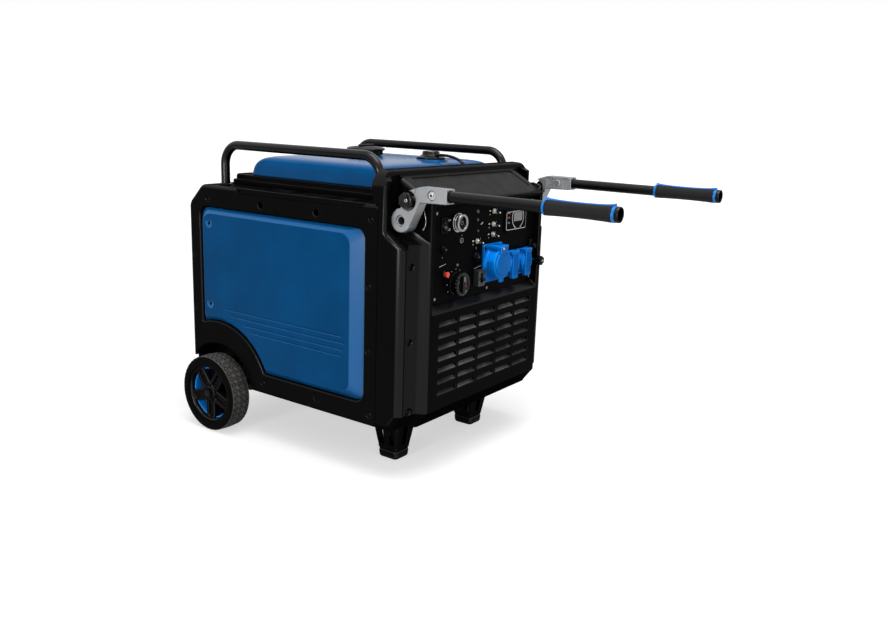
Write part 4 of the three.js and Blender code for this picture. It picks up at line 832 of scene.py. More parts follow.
def pocket_side(grow):
    """Side view of a pocket in (y, z), enlarged by grow."""
    back = pocket_y + grow
    return rounded([
        (back, 760, 0), (back, pocket_z - grow, 17), (shoulder_y - 2 + grow * 0.5, 497 - grow, 26),
        (shoulder_y - 8, 462, 0), (-240, 462, 0), (-240, 760, 0)])


pocket = [(rectangle(221.5 + inset, 330, pocket_floor(y) + inset, 760, 14), y) for y, inset in
          ((pocket_y, 4), (pocket_y - 1.2, 1.2), (pocket_y - 4, 0), (face_y - 60, 0))]
channel = rounded([(222, pocket_z + 30, 9), (222, cowl_high - 12, 0), (267, cowl_high - 12, 28),
                   (267, pocket_z + 30, 9)])
cuts = [stack("Y", [(outline * (side, 1), y) for outline, y in pocket]) for _, side in SIDES]
cuts += [flared(side, pocket_side, 260, 8) for _, side in SIDES]
cuts += [slab("Y", channel * (side, 1), pocket_y - 9, ridge_y + 2) for _, side in SIDES]
carve(cowl, *cuts)

tilt = Matrix.Rotation(math.atan(slope), 4, "X")
dish = rectangle(-196, 196, -104, -38, 13, 8)
wider = rectangle(-198.5, 198.5, -106.5, -35.5, 15.5, 8)
bow = (209.2, -13) + 13 * directions(np.linspace(0, math.pi / 2, 8))
brink = np.concatenate([bow, [(209.2, 8), (234, 8), (234, -13)]])
cutters = [stack("Z", [(dish, -2.2), (dish, -1.2), (wider, 1.0), (wider, 20)])]
cutters += [slab("Y", brink * (side, 1), -125, -34) for _, side in SIDES]
for cutter in cutters:
    cutter.data.transform(Matrix.Translation(Vector((0, cowl_back, cowl_high)) * MM) @ tilt)
    carve(cowl, cutter)
print("pocket floor", round(pocket_floor(face_y)), "to", round(pocket_z))

# %% [markdown]
# The recess for the control panel has rounded lips and a slanted sill. Below it are the louvres:
# seven rows of five slots that climb inward, so rain runs out again. The block is then hollowed
# from behind, and air can really pass through.

# %% Recess, louvres and hollow
def recess_level(grow, sill):
    return rectangle(-210 - grow, 210 + grow, floor_z - grow - sill, ceiling_z + grow, 5 + grow)


levels = [(recess_level(0, 0), panel_y + 4), (recess_level(0, 0), panel_y - 1)]
levels += [(recess_level(2.5 * a, 14 * (0.82 + 0.18 * k / 5)), face_y + 2.5 - 2.5 * b)
           for k, (a, b) in enumerate(QUARTER)]
recess = stack("Y", levels + [(recess_level(2.5, 14), face_y - 6)])
slots, blades = [], []
for row in range(7):
    z = base_z + 74 + 25 * row
    blade = rounded([(face_y + y, z + rise, 0.3) for y, rise in (
        (0.8, -5.6), (11, 3.4), (13, 3.4), (13, 1), (2.4, -8))], 2)
    for column in range(5):
        x = (column - 2) * 75.6
        slots.append(stack("Y", [
            (rectangle(x - half, x + half, z + bottom, z + top, radius, 2), face_y + y)
            for half, bottom, top, radius, y in (
                (34.6, -6.8, 5.2, 1.6, -3), (34.6, -6.8, 5.2, 1.6, -0.1),
                (33.2, -5.2, 4.6, 1.2, 1.2), (33.2, 2.5, 11.5, 1.2, 18))]))
        blades.append(slab("X", blade, x - 33.6, x + 33.6))
room = rounded([
    (joint_y + 20, base_z + 12, 0), (joint_y + 20, ceiling_z - 4, 0),
    (panel_y + 20, ceiling_z - 4, 2), (panel_y + 20, floor_z - 10, 2),
    (face_y + 14, floor_z - 30, 2), (face_y + 14, base_z + 54, 2), (face_y + 46, base_z + 14, 2)])
for cutter in (recess, slab("X", room, -204, 204), joined(*slots)):
    carve(cowl, cutter)
# The blades are black plastic like the casing; their pale grey, in patches, is a painted highlight
# where the sills catch light from above, with some dust.
look = finish("blades_dust_and_painted_highlight")
patches = look.noise(7.0, 3.0, roughness=0.6).between(0.38, 0.66)
blade_look = look.shade(
    Base_Color=look.blend(patches, (0.02, 0.02, 0.019), (0.17, 0.17, 0.163)),
    Roughness=patches * 0.1 + 0.45, Specular_IOR_Level=0.15)
dress("louvre_blades", joined(*blades), blade_look, "casing", "casing", smooth=30)
print("louvres:", len(blades))

# %% [markdown]
# Fastener seats in the channel floors and the bosses that carry the handle pivots finish it.

# %% Cowl details
SEAT = [(7, 3), (7, 0.8), (8.2, -1), (8.2, -6)]
CAP = [(5.8, 3.5), (5.8, 1.2), (4.6, 0.5)]
cuts, extras = [], []
for _, side in SIDES:
    for x, z, seat, cap in ((252, 466, SEAT, CAP), (252, 309, SEAT, CAP), (
            250, 158, [(0, 5), (5.5, 4.6), (9.5, 1), (11, -8)], [(5, 5.5), (5, 3), (3.5, 1.8)])):
        place = (side * x, 0, z)
        cuts.append(lathe(seat, "Y", place, 32, base=shoulder_y + 1.2))
        extras.append(lathe(cap, "Y", place, 24, base=shoulder_y + 1.2))
carve(cowl, *cuts)
handle_x, pivot_y, pivot_z = middle("handle_bracket_right")[0], joint_y - 42, top_z - 29
lock_y, lock_z = joint_y - 60, top_z + 13
for _, side in SIDES:
    for y, z, radius in ((pivot_y, pivot_z, 13), (lock_y, lock_z, 9)):
        extras.append(lathe([(radius + 3, 214), (radius + 3, 224), (radius, 227), (radius, 233.5),
                             (radius - 1, 234.7)], "X", (0, y, z), 40, side=side))
cowl = joined(cowl, *extras)
dress("front_cowl_shape", cowl, casing_look, "casing", "casing", "front_cowl", smooth=38)
print("cowl", len(cowl.data.polygons), "faces")

# %% [markdown]
# ## Deck and tank
#
# The steel tank sits in a black surround. A pressed tank has no flat faces: its sides lean in, its
# shoulders are round and its top is slightly crowned. A few outlines give the form, and Chaikin's
# corner cutting, which replaces every step by points at a quarter and three quarters of it, makes
# the wall between them smooth.

# %% Deck and tank
def chaikin(levels, times=3):
    """Rows of numbers smoothed by corner cutting; the first and last rows stay."""
    levels = np.asarray(levels, float)
    for _ in range(times):
        near = 0.75 * levels[:-1] + 0.25 * levels[1:]
        far = 0.25 * levels[:-1] + 0.75 * levels[1:]
        cut = np.stack([near, far], 1).reshape(-1, levels.shape[1])
        levels = np.concatenate([levels[:1], cut, levels[-1:]])
    return levels


deck_low, deck_high = low("top_deck"), high("top_deck")
deck_z, half = deck_high[2], deck_high[0]
tank_y0, tank_y1, tank_half = low("fuel_tank")[1], high("fuel_tank")[1], high("fuel_tank")[0]
tank_top = deck_z + 50
cap_at, gauge_at = middle("fuel_cap")[:2], (40, tank_y0 + 62)


def deck_level(inset, z):
    y0, y1 = deck_low[1] + inset * 0.2, deck_high[1] - inset
    return rectangle(-half + inset, half - inset, y0, y1, 14), top_z + z


def tank_level(side, front, rear, corner, z):
    """A level of the tank, its edges moved inward, at a height over the deck."""
    return (rectangle(-tank_half + side, tank_half - side, tank_y0 + front, tank_y1 - rear,
                      corner, 10), deck_z + z)


deck = stack("Z", [deck_level(*step) for step in (
    (1.0, 0.3), (0, 1.3), (0, 10.5), (0.8, 11.6), (4.2, 12.4), (5.2, 13.4), (5.6, 21.2),
    (6.6, 23.4), (8.8, 24.6), (12, 25))])
opening = rectangle(-tank_half + 9, tank_half - 9, tank_y0 + 4, tank_y1 - 4, 22)
carve(deck, slab("Z", opening, top_z - 3, deck_z + 3))
dress("top_deck_shape", deck, casing_look, "casing", "casing", "top_deck")

skirt = [(24, 14, 24, 30, top_z - 40 - deck_z), (12, 8, 12, 28, top_z - 26 - deck_z),
         (10, 6, 10, 26, -1)]
wall = chaikin([
    [1.0, 0.6, 1.0, 26, 0.3], [0, 0, 0, 26, 3], [0.6, 0.4, 5, 27, 20], [2.5, 2, 16, 28, 33],
    [12, 9, 32, 32, 42.5], [42, 30, 62, 42, 46.8], [110, 70, 128, 54, 49.7],
    [150, 90, 160, 30, 50]])
tank = stack("Z", [tank_level(*row) for row in [*skirt, *wall]])
neck = lathe([(36, -10), (36, 5), (35, 6), (29, 6), (28, 5), (28, -6)], "Z", (*cap_at, 0), 64,
             base=tank_top)
boss = lathe(chaikin([(0, -20), (50, -12), (41, -4), (38.5, -0.6), (36, 0), (0, 0)], 2),
             "Z", (*gauge_at, 0), 64, base=tank_top)
tank = joined(tank, neck, boss)
dress("fuel_tank_shape", tank, tank_look, "casing", "tank", "fuel_tank", smooth=50)
print("tank", len(tank.data.polygons), "faces, top at", round(tank_top))

# %% [markdown]
# ## Fuel cap and gauge
#
# The cap has a fluted skirt under a wide plate. Flutes are a ripple on the radius,
# r = R - depth * (0.5 + 0.5 * cos(count * angle)) ** power, and a level of the stack may have any
# mix of round and rippled outlines.

# %% Cap and gauge
def fluted(radius, depth, count, samples=10, power=1.0):
    """Circle with a ripple on its radius."""
    angle = np.linspace(0, 2 * math.pi, count * samples, endpoint=False)
    ripple = radius - depth * (0.5 + 0.5 * np.cos(count * angle)) ** power
    return ripple[:, None] * directions(angle)


seat_z = tank_top + 0.3
cap = stack("Z", [(fluted(r, d, 24) + cap_at, seat_z + z) for r, d, z in (
    (37.5, 0, 1.4), (39, 0, 1.5), (40.4, 3.2, 2.6), (40.8, 3.4, 6), (41, 3.4, 10.5),
    (41.8, 1.4, 11.6), (44.5, 0, 12), (45.7, 0.5, 12.8), (46, 0.8, 14.4), (45.6, 0.6, 16),
    (44, 0, 17.2), (41, 0, 18.4), (30, 0, 20.2), (29, 0, 19.6), (27.6, 0, 19.6), (26.6, 0, 20.6),
    (12, 0, 21.6), (3, 0, 21.8))])
x, y = cap_at
weld(cap, stack("Z", [(rectangle(x - 25, x + 25, y - 4 + k, y + 4 - k, 3.2 - k), seat_z + z)
                      for k, z in ((0, 17), (0, 24), (0.8, 25), (2, 25.6))]))
plug = lathe([(26.5, -4), (27.5, -3), (27.5, 9)], "Z", (x, y, 0), 48, base=seat_z)
carve(cap, lathe([(36.5, -1), (36.5, 6.2)], "Z", (x, y, 0), 64, base=seat_z))
dress("fuel_cap_shape", joined(cap, plug), trim_look, "cap", "trim", "fuel_cap", smooth=40)

x, y = gauge_at
dial = [(33, 0), (34, 1), (34, 3.4), (33, 4.2), (26, 6.4), (24, 7.6), (21.5, 9), (20.4, 11),
        (20, 15.6), (19.2, 16.8), (17.6, 17.3), (16.4, 16.4), (15.8, 15.4)]
gauge = lathe(dial, "Z", (x, y, 0), 64, base=seat_z)
t = np.linspace(0, 1, 40)[:, None]
ends = np.array([(x - 8, y - 14, seat_z + 8), (x - 5, y - 52, seat_z + 15),
                 (x + 3, y - 92, seat_z + 4), (x + 4, cowl_back - 3, cowl_high - 9)])
curve = sum(n * (1 - t) ** (3 - k) * t ** k * ends[k] for k, n in enumerate((1, 3, 3, 1)))
gauge = joined(gauge, swept(curve, circle(3.4, 16)))
dress("fuel_gauge_shape", gauge, trim_look, "casing", "trim", "fuel_gauge", smooth=40)
glass = finish("gauge_window")
glass_look = glass.shade(
    Base_Color=glass.blend(glass.noise(120.0), (0.02, 0.022, 0.024), (0.05, 0.05, 0.05)),
    Roughness=0.08, Coat_Weight=0.6)
lens = lathe([(15.6, 15.2), (15.6, 15.8), (10, 16.6), (0, 17)], "Z", (x, y, 0), 48, base=seat_z)
dress("fuel_gauge_lens", lens, glass_look, "casing", "display")
print("cap and gauge made")

# %% [markdown]
# ## Carrying rails
#
# Two steel tubes with four equal bends. A round section is carried along a path made of straight
# runs and true arcs, so the tube keeps its thickness in the bends.

# %% Rails
rail_x = middle("carrying_rail_right")[0]
radius = 10.5
y0, (y1, z1) = low("carrying_rail_right")[1] + radius, high("carrying_rail_right")[1:] - radius
path = rounded([(y0, top_z - 6, 0), (y0, z1, 46), (y1, z1, 46), (y1, top_z - 6, 0)], 14, False)
collar = [(radius - 1, -1), (radius + 4.5, -1), (radius + 4.5, 1.6), (radius + 3.4, 2.6),
          (radius - 1, 2.8)]
for name, side in SIDES:
    line = np.column_stack([np.full(len(path), side * rail_x), path])
    collars = [lathe(collar, "Z", (side * rail_x, y, 0), 36, True, base=top_z) for y in (y0, y1)]
    rail = joined(swept(line, circle(radius, 28)), *collars)
    node = f"carrying_rail_{name}"
    dress(f"{node}_tube", rail, tube_look, "casing", "tube_paint", node, smooth=40)
print("rail path has", len(path), "points")

# %% [markdown]
# ## Wheels
#
# A solid tyre with a diamond block tread on a rim with five broad spokes. The tread is not drawn
# on: the tyre is a turned grid fine enough to press the pattern into its radius. With a the way
# round in blocks and b the way across, reach = |a| + |b| from the middle of a block, so a groove
# where reach lies in a narrow band is a diamond.

# %% Tyre
def tyre_shape(name, side, blocks=38):
    """Radius = crown + 0.8 - 1.8 * groove. How deep each point lies in the tread is kept, so the
    finish can grey the block faces and leave the grooves near black: painted shade.
    """
    centre = middle(f"tyre_{name}")
    across = np.linspace(-1, 1, 73)
    crown = np.column_stack([91.0 - 1.6 * np.abs(across) ** 2.5, across * 23.0])
    wall = np.array([(90.4, 23.4), (88.6, 25.2), (86, 26.8), (83, 27.8), (79.5, 28), (76, 27.5),
                     (73, 27.6), (71, 26.6), (69.4, 24.6), (68.2, 20)])
    profile = np.concatenate([wall[::-1] * (1, -1), crown, wall])
    angle = np.linspace(0, 2 * math.pi, blocks * 16, endpoint=False)
    a, b = angle[None] * blocks / (2 * math.pi), profile[:, 1:] / 15.6
    reach = np.abs(a % 1 - 0.5) + np.abs((b + 0.5) % 1 - 0.5)
    groove = np.clip((0.10 - np.abs(reach - 0.30)) / 0.04, 0, 1)
    groove = np.maximum(groove, np.clip((0.06 - np.abs(reach - 0.58)) / 0.03, 0, 1) * 0.8)
    tread = np.clip((24.5 - np.abs(profile[:, 1:])) / 1.5, 0, 1)
    radius = profile[:, :1] + tread * (0.8 - 1.8 * groove)
    points = np.stack([
        np.broadcast_to(side * profile[:, 1:], radius.shape) + centre[0],
        radius * np.cos(angle) + centre[1], radius * np.sin(angle) + centre[2]], -1)
    tyre = surface(points * MM, True)
    x, y, z = np.array([v.co[:] for v in tyre.data.vertices]).T / MM
    off = np.abs(x - centre[0])
    top = 91.8 - 1.6 * np.minimum(off / 23, 1) ** 2.5
    sunk = (top - np.hypot(y - centre[1], z - centre[2])) / 1.2
    depth = tyre.data.attributes.new("depth", "FLOAT", "POINT")
    depth.data.foreach_set("value", np.clip(np.where(off < 24, sunk, 1.0), 0, 1))
    return tyre


look = finish("tyre_dust_and_painted_shade")
dust = look.noise(34.0, 6.0, roughness=0.7).between(0.2, 0.6)
depth = look.node("ShaderNodeAttribute", {"attribute_name": "depth"}, {}, "Fac")
# Light grey on the block faces, in dust-like patches, and near black in the grooves: dust on the
# faces, and painted shade in the grooves.
tyre_look = look.shade(
    Base_Color=look.blend((1 - depth) * (dust * 0.5 + 0.5), (0.0016, 0.0016, 0.0016),
                          (0.10, 0.097, 0.092)),
    Roughness=dust * 0.15 + 0.62, Specular_IOR_Level=0.02,
    Normal=look.bump(look.noise(1200.0), 0.25, 0.0004))
for name, side in SIDES:
    tyre = tyre_shape(name, side)
    dress(f"tyre_{name}_tread", tyre, tyre_look, f"wheel_{name}", "tyre", f"tyre_{name}", smooth=30)
print("tyre", len(tyre.data.polygons), "faces")

# %% [markdown]
# The rim is a barrel, a hub and five broad spokes, each with a channel down its middle. The blue
# lining of the barrel shows between the spokes, and a bolt head closes the hub. Places along the
# axle are counted from the outer face of the tyre.

# %% Rim, insert and bolt
BARREL = [(63, -47.4), (67.5, -47.4), (68, -47), (68, -9), (69, -8), (69, -6), (68, -4.4),
          (66, -4.4), (64, -5.8), (62.6, -9), (62.2, -20), (63, -28)]
HUB = [(8.4, -55.6), (15, -55.6), (17, -53), (17, -12), (16.6, -8), (15, -6.6), (12, -6.4),
       (11.4, -8.2), (8.4, -8.2)]
LINER = [(59.4, -44), (61.9, -44), (61.9, -14.6), (61.4, -14), (60, -14), (59.4, -14.6)]
PLATE = [(16, -47), (61.2, -47), (61.2, -43.4), (52, -42.4), (16, -42.4)]
STUD = [(2.9, -15), (2.9, -12), (2.1, -11.2)]
far = abs(middle("tyre_right")[0]) + 28.0


def spoke(side, angle, outer):
    """Broad tapered bar with a channel sunk down its middle, turned to its angle."""
    turn = np.array([[math.cos(angle), math.sin(angle)], [-math.sin(angle), math.cos(angle)]])

    def flat(start, end, near, far, radius=0):
        corners = ((start, -near), (end, -far), (end, far), (start, near))
        return rounded([(*corner, radius) for corner in corners], 4) @ turn + (wheel_y, wheel_z)

    bar = [(flat(10, 65.5, 15.6 - k, 14.4 - k), outer - depth)
           for k, depth in ((0, 15), (0, 2.8), (0.4, 1.4), (1.2, 0.5), (2.6, 0))]
    channel = [(flat(21 - k, 58 + k, 6.0 + k, 6.4 + k, 3), outer + depth)
               for k, depth in ((0, -4.6), (0.8, -1.2), (1.8, 0.2), (1.8, 4))]
    return carve(stack("X", bar, side), stack("X", channel, side))


def on_axle(profile, side, count, closed=False, y=wheel_y, z=wheel_z):
    return lathe(profile, "X", (0, y, z), count, closed, base=far, side=side)


for name, side in SIDES:
    parts, studs = [on_axle(BARREL, side, 72, True), on_axle(HUB, side, 72, True)], []
    for k in range(5):
        turn = k * 2 * math.pi / 5 - math.pi / 2
        parts.append(spoke(side, turn, far - 8.6))
        for reach in (25.5, 52):
            studs.append(on_axle(STUD, side, 16, False, wheel_y + reach * math.cos(turn),
                                 wheel_z + reach * math.sin(turn)))
    body = f"wheel_{name}"
    dress(f"wheel_studs_{name}", joined(*studs), black_steel_look, body, "steel")
    dress(f"wheel_rim_{name}_shape", joined(*parts), trim_look, body, "trim", f"wheel_rim_{name}")
    dress(f"wheel_plate_{name}", on_axle(PLATE, side, 64, True), rubber_look, body, "trim")
    dress(f"wheel_insert_{name}_liner", on_axle(LINER, side, 72, True), barrel_look, body,
          "blue_trim", f"wheel_insert_{name}")
ends = [on_axle(profile, side, count) for _, side in SIDES for profile, count in (
    ([(12.4, -62), (13, -61), (13, -56.4)], 32),
    ([(10.2, -7), (10.2, -2), (8.6, -0.6), (4, -0.2)], 6))]
bar = lathe([(8, 4 - far), (8, far - 4)], "X", (0, wheel_y, wheel_z), 32)
dress("axle_shape", joined(bar, *ends), black_steel_look, "casing", "steel", "axle", smooth=30)
print("wheels stand out to", round(far), "mm")

# %% [markdown]
# ## Handle brackets
#
# Each handle hinges on a die-cast bracket: a round lobe on the pivot, an arm that climbs forward
# and a socket for the tube. A casting has rounded edges everywhere. Moving every corner of an
# outline inward along the two edges that meet there gives the smaller outlines that round the
# edges of the arm.

# %% Bracket
def inward(corners, amount):
    """Corners [a, b, radius] of a closed outline moved inward: each new corner is where the two
    neighbouring edges meet after both are shifted by the amount."""
    table = np.array(corners, float)
    points = table[:, :2]
    after = np.roll(points, -1, 0)
    edge = after - points
    edge /= np.linalg.norm(edge, axis=1)[:, None]
    area = np.sum(points[:, 0] * after[:, 1] - points[:, 1] * after[:, 0])
    normal = np.column_stack([-edge[:, 1], edge[:, 0]]) * np.sign(area)
    before = np.roll(normal, 1, 0)
    shift = (before + normal) / (1 + np.sum(before * normal, axis=1))[:, None]
    return [(*point, radius) for point, radius in zip(points + shift * amount, table[:, 2])]


def soft_slab(axis, corners, start, end, edge, steps=6, both=True, side=1):
    """Outline pulled along an axis, its edges at the end, or at both, rounded by edge mm."""
    way = 1 if end > start else -1
    arc = [(rounded(inward(corners, edge * a), steps), edge * (1 - b)) for a, b in QUARTER]
    levels = [(outline, start + way * rest) for outline, rest in arc[::-1]] if both \
        else [(rounded(corners, steps), start)]
    return stack(axis, levels + [(outline, end - way * rest) for outline, rest in arc], side)


tube_z = pivot_z + 56
bolt_at = (0, pivot_y - 76, tube_z)
pivot_at = (0, pivot_y, pivot_z)


def from_pivot(*points):
    return [(pivot_y - forward, pivot_z + up, radius) for forward, up, radius in points]


def on_handle(profile, side, centre, count):
    """Lathe along X whose places are counted from the middle of the handle."""
    return lathe(profile, "X", centre, count, base=handle_x, side=side)


def bracket(side=-1):
    """The left casting and the washer of its bolt."""
    def cutter(*levels):
        return stack("X", [(outline, handle_x + x) for outline, x in levels], side)

    arm = soft_slab("X", from_pivot(
        (-14, 8, 2), (-12, 22.5, 3), (0, 26, 3), (8, 56.5, 6), (24, 63, 6), (47, 70.6, 10),
        (112, 70.6, 3), (112, 41.4, 3), (46, 40, 9), (36, 18, 20), (22, -9, 3)),
        handle_x - 14, handle_x + 14, 1.6, side=side)
    body = weld(arm, on_handle([(22.6, -14), (23.6, -13.5), (24, -12.6), (24, 11.6), (23.4, 12.8),
                                (22, 13.8), (20.5, 14)], side, pivot_at, 72))
    cutters = [
        on_handle([(20.4, -23), (20.4, -14), (18.6, -12.4), (18.6, 12), (20.6, 14), (20.6, 23)],
                  side, (0, lock_y, lock_z), 64),
        on_handle([(8.3, -23), (8.3, 9.8), (9.8, 10), (12, 14.1), (12, 23)], side, pivot_at, 48),
        lathe([(13, -130), (12.6, -112), (11.4, -110.6), (11.4, -52)], "Y",
              (side * handle_x, 0, tube_z), base=pivot_y),
        cutter(*((rounded(from_pivot((a, 20, 0), (b, 78, 0), (c, 78, 0), (d, 20, 0))), x)
                 for a, b, c, d, x in ((19.6, 42.6, 44.2, 21.2, 12.9), (18.8, 41.8, 45, 22, 15)))),
        on_handle([(9.6, 10), (9.6, 13), (10.8, 14.4), (10.8, 19)], side, bolt_at, 40)]
    for start, end, bottom, top in (
            (46, 63, 44.5, 67), (89, 108, 44.5, 67), (26, 43, 30, 60), (12, 27, 4, 27)):
        shape = from_pivot((start, bottom, 2), (start, top, 2), (end, top, 2), (end, bottom, 2))
        cutters.append(cutter(*((rounded(inward(shape, k), 4), x)
                                for k, x in ((1.2, -12.1), (0.6, -12.5), (0, -14), (-0.6, -17)))))
    for tool in cutters:
        carve(body, tool)
    return body, on_handle([(8.6, 9.6), (8.6, 12.4), (7.8, 13)], side, bolt_at, 40)


def mirrored_copy(piece):
    """The same shape with every x turned to -x."""
    copy = link(piece.data.copy())
    copy.data.transform(Matrix.Scale(-1, 4, (1, 0, 0)))
    reworked(copy.data, close_seams)
    return copy


def socket_bolt(x, side, y, z, radius):
    """Round head with a hexagonal socket, facing along X."""
    head, key = (lathe(profile, "X", (0, y, z), count, base=x, side=side) for profile, count in (
        ([(radius, -2), (radius, 1.6), (radius - 0.7, 2.4)], 32),
        ([(radius * 0.55, 0), (radius * 0.55, 6)], 6)))
    return carve(head, key)


castings = {"left": bracket()}
castings["right"] = [mirrored_copy(piece) for piece in castings["left"]]
for name, side in SIDES:
    casting, washer = castings[name]
    body, node = f"handle_{name}", f"handle_bracket_{name}"
    dress(f"{node}_casting", casting, cast_look, body, "cast_aluminium", node)
    nut = on_handle([(8, -10), (8, -14.4), (7, -15.2)], side, bolt_at, 6)
    bolt = joined(washer, nut, socket_bolt(handle_x + 13, side, *bolt_at[1:], 5.2))
    dress(f"handle_bolt_{name}", bolt, steel_look, body, "steel")
    pin = on_handle([(7.8, -18), (7.8, -4), (7, -3)], side, pivot_at, 32)
    dress(f"handle_pivot_{name}", pin, black_steel_look, "casing", "casing")
print("bracket", len(casting.data.polygons), "faces, socket at", round(tube_z))

# %% [markdown]
# ## Tubes, grips and pull knobs
#
# The tube is extruded with fine ribs along it, a small ripple on its radius. The grip is moulded in
# two plastics: a blue core with a collar at each end and a ridge along the top, and a black sleeve
# that is slightly waisted. The pull knob has a hollow face and eight shallow flutes. A bent wire
# beside each bracket releases its lock.

# %% Tube and grip
grip_low, grip_high = low("grip_core_right")[1], high("grip_core_right")[1]
tube_low = low("handle_tube_right")[1]
knob_in, knob_out = low("lock_knob_right")[0], high("lock_knob_right")[0]
knob_head = handle_x + 14.6
COLLAR = [(11.3, 0), (13.6, 0), (14.4, 0.7), (14.9, 2), (14.9, 5), (12.4, 5.4), (12.4, 8),
          (11.3, 8)]
TUBE_END = [(13.6, 6.9), (14.2, 6), (14.2, 1.4), (13.7, 0.3), (13, 0), (12.2, 0.4), (11.6, 2),
            (11.2, 9)]
WIRE = np.array([(226.5, -116.5, 590), (226.5, -123, 574), (227, -127, 559), (227, -126, 549),
                 (227, -122.5, 543)])


def waist(run, depth):
    """How far a grip is drawn in along its run: depth * sin(pi * share) ** 0.6."""
    return depth * np.sin(np.pi * (run - run[0]) / (run[-1] - run[0])) ** 0.6


def ridge(x, steps=30):
    run = np.linspace(grip_low + 3, grip_high - 3, steps)
    flare = np.abs(np.linspace(-1, 1, steps)) ** 6
    return stack("Y", [
        (rectangle(x - 3 - 2 * f, x + 3 + 2 * f, tube_z + 11.2, tube_z + 17.4 - w + f, 1.6, 4), y)
        for y, w, f in zip(run, waist(run, 2.6), flare)])


def sleeve(at, steps=40):
    run = np.linspace(grip_low + 5.3, grip_high - 5.3, steps)
    edge = 0.8 * (np.abs(np.linspace(-1, 1, steps)) > 0.97)
    turn = directions(np.linspace(math.radians(90 + 15), math.radians(450 - 15), 72))
    return stack("Y", [(np.concatenate([turn * (15.2 - w - e), turn[::-1] * 12.6]) + at, y)
                       for y, w, e in zip(run, waist(run, 1.7), edge)])


for name, side in SIDES:
    at, body = (side * handle_x, tube_z), f"handle_{name}"
    ribs, end = fluted(11.0, 0.2, 30, 6, 3), pivot_y - 54
    levels = [(ribs * k + at, y) for k, y in (
        (0.9, end + 0.1), (1, end - 1), (1, grip_high + 20), (1, tube_low + 7))]
    levels += [(circle(r, 180) + at, tube_low + y) for r, y in TUBE_END]
    dress(f"handle_tube_{name}_shape", stack("Y", levels), tube_look, body, "tube_paint",
          f"handle_tube_{name}", smooth=40)
    core = [lathe([(r, start + way * y) for r, y in COLLAR], "Y", (at[0], 0, at[1]), 48, True)
            for start, way in ((grip_low, 1), (grip_high, -1))]
    dress(f"grip_core_{name}_shape", joined(*core, ridge(at[0])), blue_trim_look, body, "blue_trim",
          f"grip_core_{name}", smooth=40)
    dress(f"grip_sleeve_{name}_shape", sleeve(at), rubber_look, body, "rubber",
          f"grip_sleeve_{name}", smooth=40)
    levels = [(4, 0, knob_in), (4, 0, handle_x - 14), (7, 0, handle_x - 13.8), (7, 0, knob_head)]
    levels += [(15.5, 0.3, knob_head), (16.3, 0.9, knob_head + 1), (16.5, 1.1, knob_head + 3)]
    levels += [(r, d, knob_out - x) for r, d, x in (
        (16.4, 1.0, 2), (15.4, 0.5, 0.4), (14, 0, 0), (12.8, 0, 0.7), (9, 0, 3.4), (5.6, 0, 5.2),
        (4.4, 0, 5.4))]
    knob = stack("X", [(fluted(r, d, 8, 9) + (lock_y, lock_z), x) for r, d, x in levels], side)
    dress(f"lock_knob_{name}_shape", knob, knob_look, f"lock_{name}", "trim", f"lock_knob_{name}",
          smooth=40)
    screw = socket_bolt(knob_out - 5.6, side, lock_y, lock_z, 3.6)
    dress(f"lock_screw_{name}", screw, steel_look, f"lock_{name}", "steel")
    t = np.linspace(0, 4, 33)
    wire = np.column_stack([np.interp(t, range(5), column) for column in WIRE.T]) * (side, 1, 1)
    bead = lathe([(0, -3), (2, -2.4), (3, 0), (2, 2.4), (0, 3)], "X", (side * 227, -121.5, 541), 24)
    dress(f"release_wire_{name}", joined(swept(wire, circle(1.1, 12)), bead), ring_look, "casing",
          "steel", smooth=60)
print("grip from", round(grip_low), "to", round(grip_high))

# %% [markdown]
# ## Feet
#
# The two front feet are tapered moulded brackets, ribbed and open at the sides, on rubber pads.
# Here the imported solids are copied, their triangles merged and every sharp edge rounded. A web
# closes the front of each foot and a raised ridge runs round its base.

# %% Feet, rear cover and tray
for name, _ in SIDES:
    node = f"foot_{name}"
    (x, y, _), base, (right, _, crest) = middle(node), low(node)[2], high(node)
    wide = right - x - 3
    web = np.array([(x - 20, base + 3), (x + 20, base + 3), (x + wide, crest - 1),
                    (x - wide, crest - 1)])
    foot = joined(refined(node, 1.2), slab("Y", web, y - 21, y - 18))
    dress(f"{node}_shape", foot, casing_look, "casing", "casing", node)
    corners = [(x + a, y + b, 4) for a, b in ((-25, -27), (25, -27), (25, 27), (-25, 27))]
    edge = soft_slab("Z", corners, base + 4, base + 8, 1.4)
    dress(f"{node}_ridge", edge, casing_look, "casing", "casing")
    pad = f"foot_pad_{name}"
    dress(f"{pad}_shape", refined(pad, 1.5), trim_look, "casing", "rubber", pad)
for node, width in (("rear_cover", 1.6), ("chassis_tray", 0.8)):
    slot = slot_of[node]
    dress(f"{node}_shape", refined(node, width), SLOT_LOOK[slot], "casing", slot, node)
print("feet and covers made")

# %% [markdown]
# ## Printing on the panel
#
# Marks on the panel are thin solids laid on its face. A stroke is a band of even width along a path
# and a label is a line of letters turned into a mesh. Only generic marks are used: ON and OFF, I
# and O, plain numbers and ticks.

# %% Marks
def on_panel(x, height):
    return x, floor_z + height


def out(distance):
    return panel_y - distance


def moved(x, y, z):
    return Matrix.Translation(Vector((x, y, z)) * MM)


def tilted(degrees):
    return Matrix.Rotation(math.radians(degrees), 4, "X")


